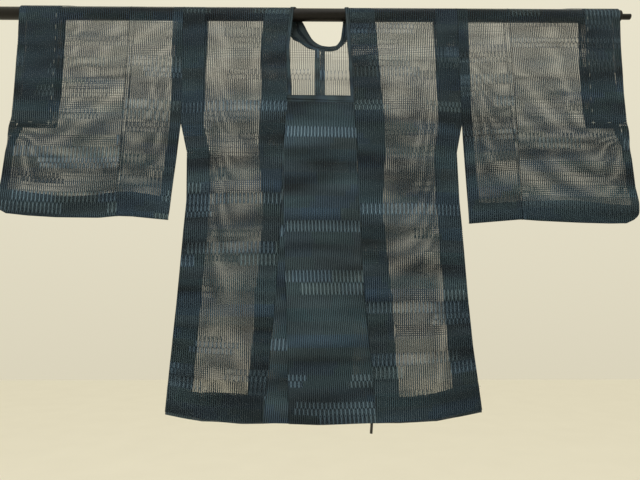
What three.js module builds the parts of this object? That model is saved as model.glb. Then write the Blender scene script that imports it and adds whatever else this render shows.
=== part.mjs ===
// Kimono coat of sheer gauze with a square neck, hanging flat on a round rod that runs through both sleeves.
// Millimetres, Z up, the front faces -Y. X is across, to the wearer's left. The origin is on the rod's axis.
// Each cloth piece is a thin closed wall. The coat hangs from the rod's top, front and back sharing one fold.
import * as THREE from "three";

// Rod
const ROD_RADIUS = 14;
const ROD_LEFT_END = -742;
const ROD_RIGHT_END = 690;
const ROD_CHAMFER = 1.5;
const SPIGOT_RADIUS = 6.5;
const SPIGOT_END = 714;
const ROD_SIDES = 28;

// Cloth
const WALL = 1.2;
const TURNED = 0.8;
const ROD_CLEARANCE = 0.6;
const SEAM_GAP = 0.3;
const FOLD_STEPS = 8;
const HANG_DEPTH = ROD_RADIUS + ROD_CLEARANCE + WALL;
const CLOSED_DEPTH = WALL + TURNED + 0.3;
const BAND_STEP = 1;

// Body
const ARMPIT_Z = -263;
const SIDE_ROUND = 110;
const SIDE_ALLOWANCE = 48;
const BACK_ALLOWANCE = 11;
const HEM_TURN = 50;
const HEM_LEVEL = -891;
const HEM_SHAPED_BELOW = -560;
const ALLOWANCE_TOP = -22;

// Doubled centre-front panels and the neck band
const PANEL_WALL = 1.8;
const PANEL_SHIFT = 2.4;
const PANEL_PROUD = 0.3;
const BAND_WALL = 2.2;
const BAND_TOP = -204;
const BAND_BOTTOM = -221;
const BAND_PROUD = 1.0;
const BAND_CORNER_PROUD = { right: 0.1, left: 0.6 };
const BAND_TUCK = { right: 70, left: 0 };

// Sleeves
const SLEEVE_ROUND = 90;
const CUFF_ROUND = 80;
const FREE_EDGE_DEPTH = 3.4;
const CUFF_OPENING_Z = -275;
const CUFF_CLOSING = 45;
const CUFF_LIFT = 1.3;
const CUFF_LIFT_START = 545;
const CUFF_LIFT_RUN = 26;
const OUTER_WIDTH_COLUMN = 0.55;
const FACING_WIDTH = 91;
const FACING_WALL = 1.0;
const SLEEVE_TURN = 50;

// Inner tie
const TIE_RADIUS = 2.7;
const TIE_SIDES = 10;
const TIE_STEPS = 20;
const TIE_BEHIND = 5.5;

// Armhole and side seam: distance from the middle at each height
const sideEdge = [
  { z: 0, right: 308, left: 311 },
  { z: -263, right: 306, left: 313 },
  { z: -330, right: 289.5, left: 298.5 },
  { z: -438, right: 285.5, left: 299 },
  { z: -500, right: 289, left: 302 },
  { z: -648, right: 295.5, left: 307 },
  { z: -760, right: 301.5, left: 312.5 },
  { z: -905, right: 309, left: 325 },
];

// Neck opening at the front: the neck band's inner edge
const neckEdge = [
  { z: 0, right: 60, left: 57 },
  { z: -82, right: 68, left: 61 },
  { z: -117, right: 67, left: 63 },
  { z: -204, right: 62, left: 66 },
];

// Neck band at the back, from the left shoulder round to the right: inner and outer edge
const backNeck = [
  { innerX: 52.5, innerZ: -15, outerX: 64.6, outerZ: -17 },
  { innerX: 50.3, innerZ: -32, outerX: 64.8, outerZ: -35 },
  { innerX: 47, innerZ: -52, outerX: 60.5, outerZ: -53.5 },
  { innerX: 38, innerZ: -65.5, outerX: 43, outerZ: -74.5 },
  { innerX: 29, innerZ: -68, outerX: 34, outerZ: -79 },
  { innerX: 19, innerZ: -68.8, outerX: 22, outerZ: -81 },
  { innerX: 1, innerZ: -65.5, outerX: 0, outerZ: -79.5 },
  { innerX: -16, innerZ: -53, outerX: -26, outerZ: -74.5 },
  { innerX: -28, innerZ: -33, outerX: -47, outerZ: -59.5 },
  { innerX: -38.5, innerZ: -11, outerX: -66, outerZ: -46 },
];
const BACK_FOLD_INNER = { right: -46, left: 53.5 };
const BACK_FOLD_OUTER = { right: -66, left: 64 };
const FRONT_BAND_WIDTH = 8;

// Where the two body pieces begin across the back, below the back neck
const backEdge = [
  { z: 0, right: 66.4, left: 64.4 },
  { z: -17, right: 66.4, left: 65 },
  { z: -35, right: 66.4, left: 65.2 },
  { z: -46, right: 66.4, left: 62.7 },
  { z: -53.5, right: 55.8, left: 60.9 },
  { z: -59.5, right: 47.4, left: 55.9 },
  { z: -74.8, right: 26.6, left: 43.3 },
  { z: -79.4, right: 4, left: 34.6 },
  { z: -81.4, right: 3, left: 22.4 },
  { z: -82.4, right: 0, left: 0 },
  { z: -905, right: 0, left: 0 },
];

// Centre-front seam, the free edge beyond the middle, and the allowance turned behind the seam
const frontEdge = [
  { z: 0, seamRight: 70, seamLeft: 74, free: 71, allowance: 60 },
  { z: -221, seamRight: 70, seamLeft: 74, free: 71.5, allowance: 64 },
  { z: -327, seamRight: 79, seamLeft: 80, free: 78, allowance: 60 },
  { z: -460, seamRight: 83, seamLeft: 83, free: 76, allowance: 48 },
  { z: -550, seamRight: 86, seamLeft: 86, free: 73, allowance: 52 },
  { z: -638, seamRight: 90.5, seamLeft: 90.5, free: 70, allowance: 56 },
  { z: -709, seamRight: 96.5, seamLeft: 96.5, free: 67, allowance: 52 },
  { z: -770, seamRight: 101.5, seamLeft: 101.5, free: 65, allowance: 50 },
  { z: -905, seamRight: 113, seamLeft: 113, free: 61, allowance: 48 },
];

// Hem height across, front and back
const hemLine = [
  { x: 0, front: -891, back: -892 },
  { x: 110, front: -888, back: -894.5 },
  { x: 160, front: -886, back: -895 },
  { x: 236, front: -880, back: -890 },
  { x: 322, front: -866, back: -871 },
];

// Soft waves of the body, growing towards the hem: wave length, shift and depth
const bodyWaves = [
  { face: "front", length: 214, shift: 0.6, depth: 1.7 },
  { face: "front", length: 131, shift: 2.1, depth: 0.7 },
  { face: "back", length: 187, shift: 2.4, depth: 2.1 },
  { face: "back", length: 118, shift: 0.2, depth: 0.9 },
];

// Sleeve: seam positions, free edge and cuff at each height, and half depth in the middle of the sleeve
const sleeveEdge = [
  { z: 0, innerRight: 308, innerLeft: 311, seam: 428, cuffRight: 676, cuffLeft: 681 },
  { z: -82, innerRight: 307.5, innerLeft: 311.5, seam: 428, cuffRight: 671.5, cuffLeft: 675 },
  { z: -200, innerRight: 306.5, innerLeft: 312.5, seam: 429.5, cuffRight: 669, cuffLeft: 671 },
  { z: -263, innerRight: 306, innerLeft: 313, seam: 430, cuffRight: 669, cuffLeft: 671.5 },
  { z: -300, innerRight: 309, innerLeft: 314, seam: 430.5, cuffRight: 677.5, cuffLeft: 678 },
  { z: -345, innerRight: 312, innerLeft: 315, seam: 431, cuffRight: 681.5, cuffLeft: 681 },
  { z: -405, innerRight: 317, innerLeft: 316.5, seam: 432, cuffRight: 683.5, cuffLeft: 682 },
  { z: -440, innerRight: 319.5, innerLeft: 317.5, seam: 432, cuffRight: 686.5, cuffLeft: 686.5 },
  { z: -462, innerRight: 321, innerLeft: 318, seam: 432, cuffRight: 687.5, cuffLeft: 684.5 },
  { z: -472, innerRight: 322, innerLeft: 318, seam: 432, cuffRight: 686, cuffLeft: 678 },
  { z: -480, innerRight: 323, innerLeft: 318, seam: 432, cuffRight: 680, cuffLeft: 667 },
  { z: -484, innerRight: 323, innerLeft: 318, seam: 432, cuffRight: 667, cuffLeft: 656 },
];
const sleeveBottom = [
  { x: 318, right: -480, left: -486.5 },
  { x: 365, right: -475.5, left: -482.5 },
  { x: 400, right: -472, left: -479.5 },
  { x: 430, right: -471, left: -477 },
  { x: 470, right: -475, left: -480 },
  { x: 560, right: -474, left: -484 },
  { x: 620, right: -470.5, left: -485.5 },
  { x: 680, right: -464, left: -484.5 },
];
const SLEEVE_LEVEL = -484;
const sleeveSection = [
  { z: 0, depth: HANG_DEPTH },
  { z: -120, depth: 15.0 },
  { z: -240, depth: 12.6 },
  { z: -350, depth: 9.0 },
  { z: -430, depth: 5.4 },
  { z: -484, depth: 2.6 },
];

// Tie: sewn at the right front panel's free edge, hanging behind the left front, free end below the hem
const tieRoute = [
  { x: 78.9, z: -452 },
  { x: 79.7, z: -468 },
  { x: 81.2, z: -490 },
  { x: 83.2, z: -522 },
  { x: 85.4, z: -556 },
  { x: 87.6, z: -590 },
  { x: 90, z: -626 },
  { x: 92.4, z: -662 },
  { x: 94.8, z: -698 },
  { x: 97, z: -734 },
  { x: 99, z: -770 },
  { x: 100.6, z: -804 },
  { x: 101.7, z: -836 },
  { x: 102.1, z: -864 },
  { x: 101.5, z: -889 },
  { x: 100, z: -909 },
];

// Heights of the rows of each piece
const panelRows = [-891, -842, -840, -770, -709, -638, -550, -460, -390, -327, -263, -221];
const neckRows = [-190, -160, -117, -82, -40, -18];
const bodyFrontRows = [...panelRows, ...neckRows];
const bodyBackRows = [-18, -35, -46, -53.5, -59.5, -74.8, -79.4, -81.4, -82.4, -130, -190, -263, -327, -390,
  -460, -550, -638, -709, -770, -840, -842, -891];
const sleeveRows = [-484, -480, -472, -462, -434, -432, -380, -330, -275, -230, -180, -130, -82, -30];
const facingRows = [-275, -230, -180, -130, -82, -30];
const bandRows = [-190, -160, -117, -82, -40, -16];

// Places of the columns across each piece, as shares of its width
const bodyColumns = [0.2, 0.45, 0.7];
const panelColumns = [0, 0.16, 0.36, 0.56, 0.78, 1];
const bandColumns = [0.25, 0.5, 0.75, 1];
const innerWidthColumns = [0, 0.25, 0.6, 1];
const facingColumns = [0, 0.5, 1];

// Colours of the rod, the single and doubled gauze, the neck band and the tie
const ROD_BLACK = 0x2b2a26;
const GAUZE = 0x4a5654;
const PANEL_GAUZE = 0x2f3f42;
const FACING_GAUZE = 0x2d3a39;
const BAND_GAUZE = 0x35454a;
const TIE_BROWN = 0x1c1d18;

function clamp(value) {
  return Math.min(1, Math.max(0, value));
}

function ease(value) {
  const t = clamp(value);
  return t * t * (3 - 2 * t);
}

function blend(a, b, t) {
  return a + (b - a) * t;
}

// Straight interpolation in a table along one column
function lookup(table, key, at, column) {
  const rising = table[table.length - 1][key] > table[0][key];
  for (let i = 1; i < table.length; i += 1) {
    const before = table[i - 1];
    const after = table[i];
    const inside = rising ? at <= after[key] : at >= after[key];
    if (inside || i === table.length - 1) {
      const t = clamp((at - before[key]) / (after[key] - before[key]));
      return blend(before[column], after[column], t);
    }
  }
  return table[0][column];
}

const nameOf = (side) => (side > 0 ? "left" : "right");
const innerOf = (side) => (side > 0 ? "innerLeft" : "innerRight");
const cuffOf = (side) => (side > 0 ? "cuffLeft" : "cuffRight");
const frontSeamOf = (side) => (side > 0 ? "seamLeft" : "seamRight");

function seamDepth(z) {
  return blend(HANG_DEPTH, CLOSED_DEPTH, ease(z / ARMPIT_Z));
}

function bodyWave(x, z, face) {
  const growth = ease(z / HEM_LEVEL);
  let sum = 0;
  for (const wave of bodyWaves) {
    if (wave.face === face) {
      sum += wave.depth * Math.sin((2 * Math.PI * x) / wave.length + wave.shift);
    }
  }
  return sum * growth;
}

// Half depth of the body's outer face at a point
function bodyDepth(x, z, face) {
  const edge = lookup(sideEdge, "z", z, x > 0 ? "left" : "right");
  const open = ease((edge - Math.abs(x)) / SIDE_ROUND);
  return blend(seamDepth(z), HANG_DEPTH + bodyWave(x, z, face), open);
}

// Half depth of a sleeve's outer face at a point
function sleeveDepth(x, z) {
  const side = Math.sign(x);
  const reach = Math.abs(x);
  const middle = lookup(sleeveSection, "z", z, "depth");
  const innerEdge = lookup(sleeveEdge, "z", z, innerOf(side));
  const cuffEdge = lookup(sleeveEdge, "z", z, cuffOf(side));
  const below = ease((ARMPIT_Z - z) / CUFF_CLOSING);
  const innerDepth = Math.min(middle, blend(seamDepth(z), FREE_EDGE_DEPTH, below));
  const closed = ease((CUFF_OPENING_Z - z) / CUFF_CLOSING);
  const cuffDepth = Math.min(middle, blend(middle, CLOSED_DEPTH, closed));
  const fromBody = ease((reach - innerEdge) / SLEEVE_ROUND);
  const fromCuff = ease((cuffEdge - reach) / CUFF_ROUND);
  const lift = CUFF_LIFT * ease((reach - CUFF_LIFT_START) / CUFF_LIFT_RUN) * (1 - closed);
  return Math.min(blend(innerDepth, middle, fromBody), blend(cuffDepth, middle, fromCuff)) + lift;
}

function bodyHeight(x, z, face) {
  const hem = lookup(hemLine, "x", Math.abs(x), face);
  const share = ease((HEM_SHAPED_BELOW - z) / (HEM_SHAPED_BELOW - HEM_LEVEL));
  return z + (hem - HEM_LEVEL) * share;
}

function sleeveHeight(x, z) {
  const bottom = lookup(sleeveBottom, "x", Math.abs(x), nameOf(Math.sign(x)));
  return z * blend(1, bottom / SLEEVE_LEVEL, ease(z / SLEEVE_LEVEL));
}

// Stations run up the front, over the rod and down the back
function stationsOver(frontRows, backRows) {
  const stations = frontRows.map((z) => ({ face: "front", z }));
  for (let i = 0; i <= FOLD_STEPS; i += 1) {
    stations.push({ face: "fold", z: 0, angle: (Math.PI * i) / FOLD_STEPS });
  }
  for (const z of backRows) {
    stations.push({ face: "back", z });
  }
  return stations;
}

// A point of the hanging cloth, moved in from the outer face
function clothPoint(station, x, z, depth, inset) {
  const reach = depth - inset;
  if (station.face === "fold") {
    return [x, -reach * Math.cos(station.angle), reach * Math.sin(station.angle)];
  }
  return [x, station.face === "front" ? -reach : reach, z];
}

// A closed wall from a grid of outer points and a grid of inner points
function wallGeometry(outer, inner) {
  const rows = outer.length;
  const columns = outer[0].length;
  const positions = [];
  for (const grid of [outer, inner]) {
    for (const row of grid) {
      for (const point of row) {
        positions.push(...point);
      }
    }
  }
  const half = rows * columns;
  const at = (row, column) => row * columns + column;
  const index = [];
  const quad = (a, b, c, d) => index.push(a, b, c, a, c, d);
  for (let r = 0; r + 1 < rows; r += 1) {
    for (let c = 0; c + 1 < columns; c += 1) {
      quad(at(r, c), at(r, c + 1), at(r + 1, c + 1), at(r + 1, c));
      quad(half + at(r, c), half + at(r + 1, c), half + at(r + 1, c + 1), half + at(r, c + 1));
    }
  }
  for (let r = 0; r + 1 < rows; r += 1) {
    const last = columns - 1;
    quad(at(r, 0), at(r + 1, 0), half + at(r + 1, 0), half + at(r, 0));
    quad(at(r + 1, last), at(r, last), half + at(r, last), half + at(r + 1, last));
  }
  for (let c = 0; c + 1 < columns; c += 1) {
    const last = rows - 1;
    quad(at(0, c + 1), at(0, c), half + at(0, c), half + at(0, c + 1));
    quad(at(last, c), at(last, c + 1), half + at(last, c + 1), half + at(last, c));
  }
  const geometry = new THREE.BufferGeometry();
  geometry.setAttribute("position", new THREE.Float32BufferAttribute(positions, 3));
  geometry.setIndex(index);
  geometry.computeVertexNormals();
  return geometry;
}

// A wall whose columns run from low X to high X
function wallFromGrid(outer, inner) {
  const first = outer[0];
  if (first[0][0] > first[first.length - 1][0]) {
    for (const row of [...outer, ...inner]) {
      row.reverse();
    }
  }
  return wallGeometry(outer, inner);
}

// Share of the way over the fold, 0 at the front and 1 at the back
function turnAt(station) {
  if (station.face === "fold") {
    return ease(station.angle / Math.PI);
  }
  return station.face === "back" ? 1 : 0;
}

// Body piece on one side: side is 1 for the wearer's left, -1 for the right
function bodyGeometry(side) {
  const stations = stationsOver(bodyFrontRows, bodyBackRows);
  const outer = [];
  const inner = [];
  stations.forEach((station) => {
    const turn = turnAt(station);
    const z = station.z;
    const frontStart = frontStartAt(side, z);
    const backStart = lookup(backEdge, "z", z, nameOf(side)) + SEAM_GAP / 2;
    const start = blend(frontStart, backStart, turn);
    const end = lookup(sideEdge, "z", z, nameOf(side)) - SEAM_GAP / 2;
    const band = blend(lookup(frontEdge, "z", z, "allowance"), BACK_ALLOWANCE, turn);
    const bandEnd = start + band;
    const sideStart = end - SIDE_ALLOWANCE;
    const reaches = [start, bandEnd, bandEnd + BAND_STEP];
    for (const share of bodyColumns) {
      reaches.push(blend(bandEnd, sideStart, share));
    }
    reaches.push(sideStart - BAND_STEP, sideStart, (sideStart + end) / 2, end);
    const outerRow = [];
    const innerRow = [];
    for (const reach of reaches) {
      const x = side * reach;
      const face = turn > 0.5 ? "back" : "front";
      const height = bodyHeight(x, z, face);
      const depth = bodyDepth(x, z, face);
      const doubledAcross = reach <= bandEnd || reach >= sideStart;
      const doubledUp = z <= HEM_LEVEL + HEM_TURN;
      const doubled = (doubledAcross && z <= ALLOWANCE_TOP) || doubledUp;
      const wall = WALL + (doubled ? TURNED : 0);
      outerRow.push(clothPoint(station, x, height, depth, 0));
      innerRow.push(clothPoint(station, x, height, depth, wall));
    }
    outer.push(outerRow);
    inner.push(innerRow);
  });
  return wallFromGrid(outer, inner);
}

// Where a body piece begins at the front: beside the neck band, then at the centre-front seam
function frontStartAt(side, z) {
  if (z >= BAND_BOTTOM) {
    return lookup(neckEdge, "z", z, nameOf(side)) + FRONT_BAND_WIDTH + SEAM_GAP;
  }
  return lookup(frontEdge, "z", z, frontSeamOf(side)) + SEAM_GAP / 2;
}

// Share of the way from a front panel's seam to its free edge
function panelShare(side, x, z) {
  const seam = side * lookup(frontEdge, "z", z, frontSeamOf(side));
  const free = -side * lookup(frontEdge, "z", z, "free");
  return clamp((x - seam) / (free - seam));
}

// The left front panel moves forward towards its free edge, the right one moves back behind it
function panelDepth(side, x, z) {
  return bodyDepth(x, z, "front") + PANEL_PROUD + side * PANEL_SHIFT * panelShare(side, x, z);
}

function frontPanelGeometry(side) {
  const outer = [];
  const inner = [];
  for (const z of panelRows) {
    const seam = lookup(frontEdge, "z", z, frontSeamOf(side)) - SEAM_GAP / 2;
    const free = -lookup(frontEdge, "z", z, "free");
    const top = z > BAND_BOTTOM - 1 ? -SEAM_GAP : 0;
    const outerRow = [];
    const innerRow = [];
    for (const share of panelColumns) {
      const x = side * blend(seam, free, share);
      const height = bodyHeight(x, z, "front") + top - (side < 0 ? share : 0);
      const depth = panelDepth(side, x, z);
      outerRow.push([x, -depth, height]);
      innerRow.push([x, -depth + PANEL_WALL, height]);
    }
    outer.push(outerRow);
    inner.push(innerRow);
  }
  return wallFromGrid(outer, inner);
}

// Neck band: sections with an inner edge, an outer edge and the half depths of its two faces
function neckBandSections() {
  const sections = [];
  const flatPart = (side, share) => {
    const seamX = side * lookup(neckEdge, "z", BAND_TOP, nameOf(side));
    const freeX = -side * lookup(frontEdge, "z", BAND_BOTTOM, "free");
    const x = blend(seamX, freeX, share);
    const front = panelDepth(side, x, BAND_BOTTOM) + (side > 0 ? BAND_WALL - PANEL_WALL : 0);
    return { inner: [x, BAND_TOP], outer: [x, BAND_BOTTOM], front, face: "front" };
  };
  const corner = (side) => {
    const innerX = side * lookup(neckEdge, "z", BAND_TOP, nameOf(side));
    const outerX = innerX + side * FRONT_BAND_WIDTH;
    const x = (innerX + outerX) / 2;
    const front = bodyDepth(x, BAND_BOTTOM, "front") + BAND_CORNER_PROUD[nameOf(side)];
    return { inner: [innerX, BAND_TOP], outer: [outerX, BAND_BOTTOM], front, face: "front" };
  };
  const upright = (side, z) => {
    const innerX = side * lookup(neckEdge, "z", z, nameOf(side));
    const outerX = innerX + side * FRONT_BAND_WIDTH;
    const tuck = BAND_TUCK[nameOf(side)];
    const settle = tuck > 0 ? ease((z - BAND_TOP) / tuck) : 1;
    const front = bodyDepth(innerX, z, "front") + blend(BAND_CORNER_PROUD.right, BAND_PROUD, settle);
    return { inner: [innerX, z], outer: [outerX, z], front, face: "front" };
  };
  const fold = (side, angle) => {
    const turn = turnAt({ face: "fold", angle });
    const key = nameOf(side);
    const frontInner = side * lookup(neckEdge, "z", 0, key);
    const frontOuter = frontInner + side * FRONT_BAND_WIDTH;
    return {
      inner: [blend(frontInner, BACK_FOLD_INNER[key], turn), 0],
      outer: [blend(frontOuter, BACK_FOLD_OUTER[key] - side * SEAM_GAP, turn), 0],
      front: HANG_DEPTH + BAND_PROUD,
      face: "fold",
      angle,
    };
  };
  for (const share of [...bandColumns].reverse()) {
    sections.push(flatPart(-1, share));
  }
  sections.push(corner(-1));
  for (const z of bandRows) {
    sections.push(upright(-1, z));
  }
  for (let i = 0; i <= FOLD_STEPS; i += 1) {
    sections.push(fold(-1, (Math.PI * i) / FOLD_STEPS));
  }
  for (const row of [...backNeck].reverse()) {
    const front = bodyDepth(row.innerX, row.innerZ, "back") + BAND_PROUD;
    sections.push({ inner: [row.innerX, row.innerZ], outer: [row.outerX, row.outerZ], front, face: "back" });
  }
  for (let i = FOLD_STEPS; i >= 0; i -= 1) {
    sections.push(fold(1, (Math.PI * i) / FOLD_STEPS));
  }
  for (const z of [...bandRows].reverse()) {
    sections.push(upright(1, z));
  }
  sections.push(corner(1));
  for (const share of bandColumns) {
    sections.push(flatPart(1, share));
  }
  return sections;
}

function neckBandGeometry() {
  const outer = [];
  const inner = [];
  for (const section of neckBandSections()) {
    const edges = [section.outer, section.inner];
    outer.push(edges.map(([x, z]) => clothPoint(section, x, z, section.front, 0)));
    inner.push(edges.map(([x, z]) => clothPoint(section, x, z, section.front, BAND_WALL)));
  }
  return wallGeometry(outer, inner);
}

// Sleeve width between two edges, over the rod, the bottom turned up inside
function sleeveGeometry(side, width) {
  const backRows = [...sleeveRows].reverse();
  const stations = stationsOver(sleeveRows, backRows);
  const outer = [];
  const inner = [];
  for (const station of stations) {
    const z = station.z;
    const seam = lookup(sleeveEdge, "z", z, "seam");
    const innerEdge = lookup(sleeveEdge, "z", z, innerOf(side)) + SEAM_GAP / 2;
    const cuffEdge = lookup(sleeveEdge, "z", z, cuffOf(side));
    const start = width === "inner" ? innerEdge : seam + SEAM_GAP / 2;
    const end = seam - SEAM_GAP / 2;
    const facingStart = cuffEdge - FACING_WIDTH;
    const reaches = width === "inner"
      ? innerWidthColumns.map((share) => blend(start, end, share))
      : [start, blend(start, CUFF_LIFT_START, OUTER_WIDTH_COLUMN), CUFF_LIFT_START, facingStart - BAND_STEP,
        (facingStart + cuffEdge) / 2, cuffEdge];
    const outerRow = [];
    const innerRow = [];
    for (const reach of reaches) {
      const x = side * reach;
      const doubled = z <= SLEEVE_LEVEL + SLEEVE_TURN;
      const wall = WALL + (doubled ? TURNED : 0);
      const height = sleeveHeight(x, z);
      const depth = sleeveDepth(x, z);
      outerRow.push(clothPoint(station, x, height, depth, 0));
      innerRow.push(clothPoint(station, x, height, depth, wall));
    }
    outer.push(outerRow);
    inner.push(innerRow);
  }
  return wallFromGrid(outer, inner);
}

// Cuff facing: made from the sleeve's own points, moved in
function cuffFacingGeometry(side) {
  const backRows = [...facingRows].reverse();
  const stations = stationsOver(facingRows, backRows);
  const outer = [];
  const inner = [];
  for (const station of stations) {
    const cuffEdge = lookup(sleeveEdge, "z", station.z, cuffOf(side));
    const outerRow = [];
    const innerRow = [];
    for (const share of facingColumns) {
      const x = side * blend(cuffEdge - FACING_WIDTH, cuffEdge, share);
      const height = sleeveHeight(x, station.z);
      const depth = sleeveDepth(x, station.z);
      outerRow.push(clothPoint(station, x, height, depth, WALL + SEAM_GAP));
      innerRow.push(clothPoint(station, x, height, depth, WALL + SEAM_GAP + FACING_WALL));
    }
    outer.push(outerRow);
    inner.push(innerRow);
  }
  return wallFromGrid(outer, inner);
}

// Round rod along X with a chamfered end and a thin spigot at its right
function rodGeometry() {
  const profile = [
    new THREE.Vector2(0, ROD_LEFT_END),
    new THREE.Vector2(ROD_RADIUS - ROD_CHAMFER, ROD_LEFT_END),
    new THREE.Vector2(ROD_RADIUS, ROD_LEFT_END + ROD_CHAMFER),
    new THREE.Vector2(ROD_RADIUS, ROD_RIGHT_END - ROD_CHAMFER),
    new THREE.Vector2(ROD_RADIUS - ROD_CHAMFER, ROD_RIGHT_END),
    new THREE.Vector2(SPIGOT_RADIUS, ROD_RIGHT_END),
    new THREE.Vector2(SPIGOT_RADIUS, SPIGOT_END),
    new THREE.Vector2(0, SPIGOT_END),
  ];
  return new THREE.LatheGeometry(profile, ROD_SIDES);
}

function tieGeometry() {
  const points = tieRoute.map(({ x, z }) => {
    const y = -bodyDepth(x, z, "front") + TIE_BEHIND;
    return new THREE.Vector3(x, y, z);
  });
  const path = new THREE.CatmullRomCurve3(points);
  const section = new THREE.Shape();
  for (let i = 0; i < TIE_SIDES; i += 1) {
    const angle = (2 * Math.PI * i) / TIE_SIDES;
    const x = TIE_RADIUS * Math.cos(angle);
    const y = TIE_RADIUS * Math.sin(angle);
    if (i === 0) {
      section.moveTo(x, y);
    } else {
      section.lineTo(x, y);
    }
  }
  section.closePath();
  return new THREE.ExtrudeGeometry(section, { steps: TIE_STEPS, bevelEnabled: false, extrudePath: path });
}

function clothMaterial(color) {
  return new THREE.MeshStandardMaterial({ color, roughness: 0.85, metalness: 0 });
}

function addMesh(group, name, geometry, material) {
  const mesh = new THREE.Mesh(geometry, material);
  mesh.name = name;
  group.add(mesh);
  return mesh;
}

const coat = new THREE.Group();
coat.name = "kimono_coat";

const rod = addMesh(
  coat,
  "rod",
  rodGeometry(),
  new THREE.MeshStandardMaterial({ color: ROD_BLACK, roughness: 0.4, metalness: 0.2 }),
);
rod.rotation.z = -Math.PI / 2;

for (const side of [1, -1]) {
  const name = nameOf(side);
  addMesh(coat, `body_${name}`, bodyGeometry(side), clothMaterial(GAUZE));
  addMesh(coat, `front_panel_${name}`, frontPanelGeometry(side), clothMaterial(PANEL_GAUZE));
  addMesh(coat, `sleeve_inner_${name}`, sleeveGeometry(side, "inner"), clothMaterial(GAUZE));
  addMesh(coat, `sleeve_outer_${name}`, sleeveGeometry(side, "outer"), clothMaterial(GAUZE));
  addMesh(coat, `cuff_facing_${name}`, cuffFacingGeometry(side), clothMaterial(FACING_GAUZE));
}
addMesh(coat, "neck_band", neckBandGeometry(), clothMaterial(BAND_GAUZE));
addMesh(coat, "tie_cord", tieGeometry(), clothMaterial(TIE_BROWN));

export default coat;
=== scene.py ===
# Kimono coat of sheer striped gauze, hanging flat on a round rod that runs through both sleeves.
# Sizes are in millimetres, as a pattern cutter gives them, and every mesh is made in metres.
# X is across, to the wearer's left, the front faces -Y, and the origin is on the rod's axis.
import math

import bpy
import numpy as np
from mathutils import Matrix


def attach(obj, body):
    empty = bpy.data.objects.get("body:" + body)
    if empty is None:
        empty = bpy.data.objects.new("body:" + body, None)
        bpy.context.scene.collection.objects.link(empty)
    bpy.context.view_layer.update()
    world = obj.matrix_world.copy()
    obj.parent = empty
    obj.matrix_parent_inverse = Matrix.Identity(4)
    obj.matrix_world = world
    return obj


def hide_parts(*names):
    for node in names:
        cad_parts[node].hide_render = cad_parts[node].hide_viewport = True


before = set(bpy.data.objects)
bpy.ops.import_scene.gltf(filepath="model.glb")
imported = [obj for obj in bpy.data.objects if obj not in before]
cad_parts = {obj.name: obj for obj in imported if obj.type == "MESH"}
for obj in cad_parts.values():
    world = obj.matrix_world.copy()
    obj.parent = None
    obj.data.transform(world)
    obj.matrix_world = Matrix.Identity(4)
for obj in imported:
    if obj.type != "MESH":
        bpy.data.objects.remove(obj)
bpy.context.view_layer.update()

MM = 0.001

# Camera
CAMERA_LENS = 27
CAMERA_SENSOR = 36
CAMERA_PLACE = (-0.0093, -1.0, -0.6901)
CAMERA_TILT = 9.5
CAMERA_TURN = -0.52

# Rod
ROD_RADIUS = 14
ROD_LEFT_END = -742
ROD_RIGHT_END = 690
ROD_CHAMFER = 1.5
SPIGOT_RADIUS = 6.5
SPIGOT_END = 714
ROD_SIDES = 72

# Cloth as it hangs: half depths, and the places of its layers under the outer face
WALL = 1.2
TURNED = 0.8
ROD_CLEARANCE = 0.6
SEAM_GAP = 0.3
HANG_DEPTH = ROD_RADIUS + ROD_CLEARANCE + WALL
CLOSED_DEPTH = WALL + TURNED + 0.3
CLOTH_THICKNESS = 0.25
OUTER_LAYER = 0.45
ALLOWANCE_LAYER = 0.8
TURN_UP_LAYER = 0.6
DEEPEST_LAYER = 1.85
FLANGE_LAYER = 2.1
TURN_RADIUS = 0.4
SELVEDGE_WIDTH = 3
NARROW_ALLOWANCE = 10
ALLOWANCE_CREASE = 0.12
ALLOWANCE_FLAT = 0.2
NARROW_COLUMNS = (0.3, 1)
GRID_STEP = 7
TURN_ANGLES = (math.pi / 4, math.pi / 2, 3 * math.pi / 4)
FOLD_STEPS = 14

# Body; a turn-up's wave is how far it rises and falls, and over what length
ARMPIT_Z = -263
SIDE_ROUND = 110
SIDE_ALLOWANCE = 48
BACK_ALLOWANCE = 11
HEM_TURN = 50
HEM_LEVEL = -891
HEM_SHAPED_BELOW = -560
HEM_TURN_WAVE = (4, 37)

# Doubled centre-front panels, with places on the weave across their fold and flange
PANEL_WALL = 1.8
PANEL_SHIFT = 2.4
PANEL_PROUD = 0.3
PANEL_OUTER_LAYER = 0.25
PANEL_WIDTH = 150
PANEL_TURN_WAVE = (3, 33)
PANEL_TUCK = 0.55
PANEL_FLANGE_RUN = 8
PANEL_FLANGE_SHORT = 4
PANEL_FLANGE_COLUMNS = (0.04, 0.12, 0.25, 0.4, 0.55, 0.7, 0.85, 0.95, 1)
PANEL_WEAVE = {"seam": 110, "free": -71, "flange": 55}

# Neck band
BAND_WALL = 2.2
BAND_TOP = -204
BAND_BOTTOM = -221
BAND_PROUD = 1.0
BAND_CORNER_PROUD = {"right": 0.1, "left": 0.6}
BAND_TUCK = {"right": 70, "left": 1}
BAND_SECTION_SIDES = 14
BAND_FLATNESS = 0.45
BAND_UPRIGHT = (-196, -6)
BAND_UPRIGHT_STEP = 10
BAND_FLAT_PART = (1, 0.08)
BAND_FLAT_SECTIONS = 14
BAND_BACK_STEPS = 5
BAND_WEAVE_ROUND = 36
BAND_COVER = 3
BACK_NECK_LOWEST = -81.4
FRONT_BAND_WIDTH = 8

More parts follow.
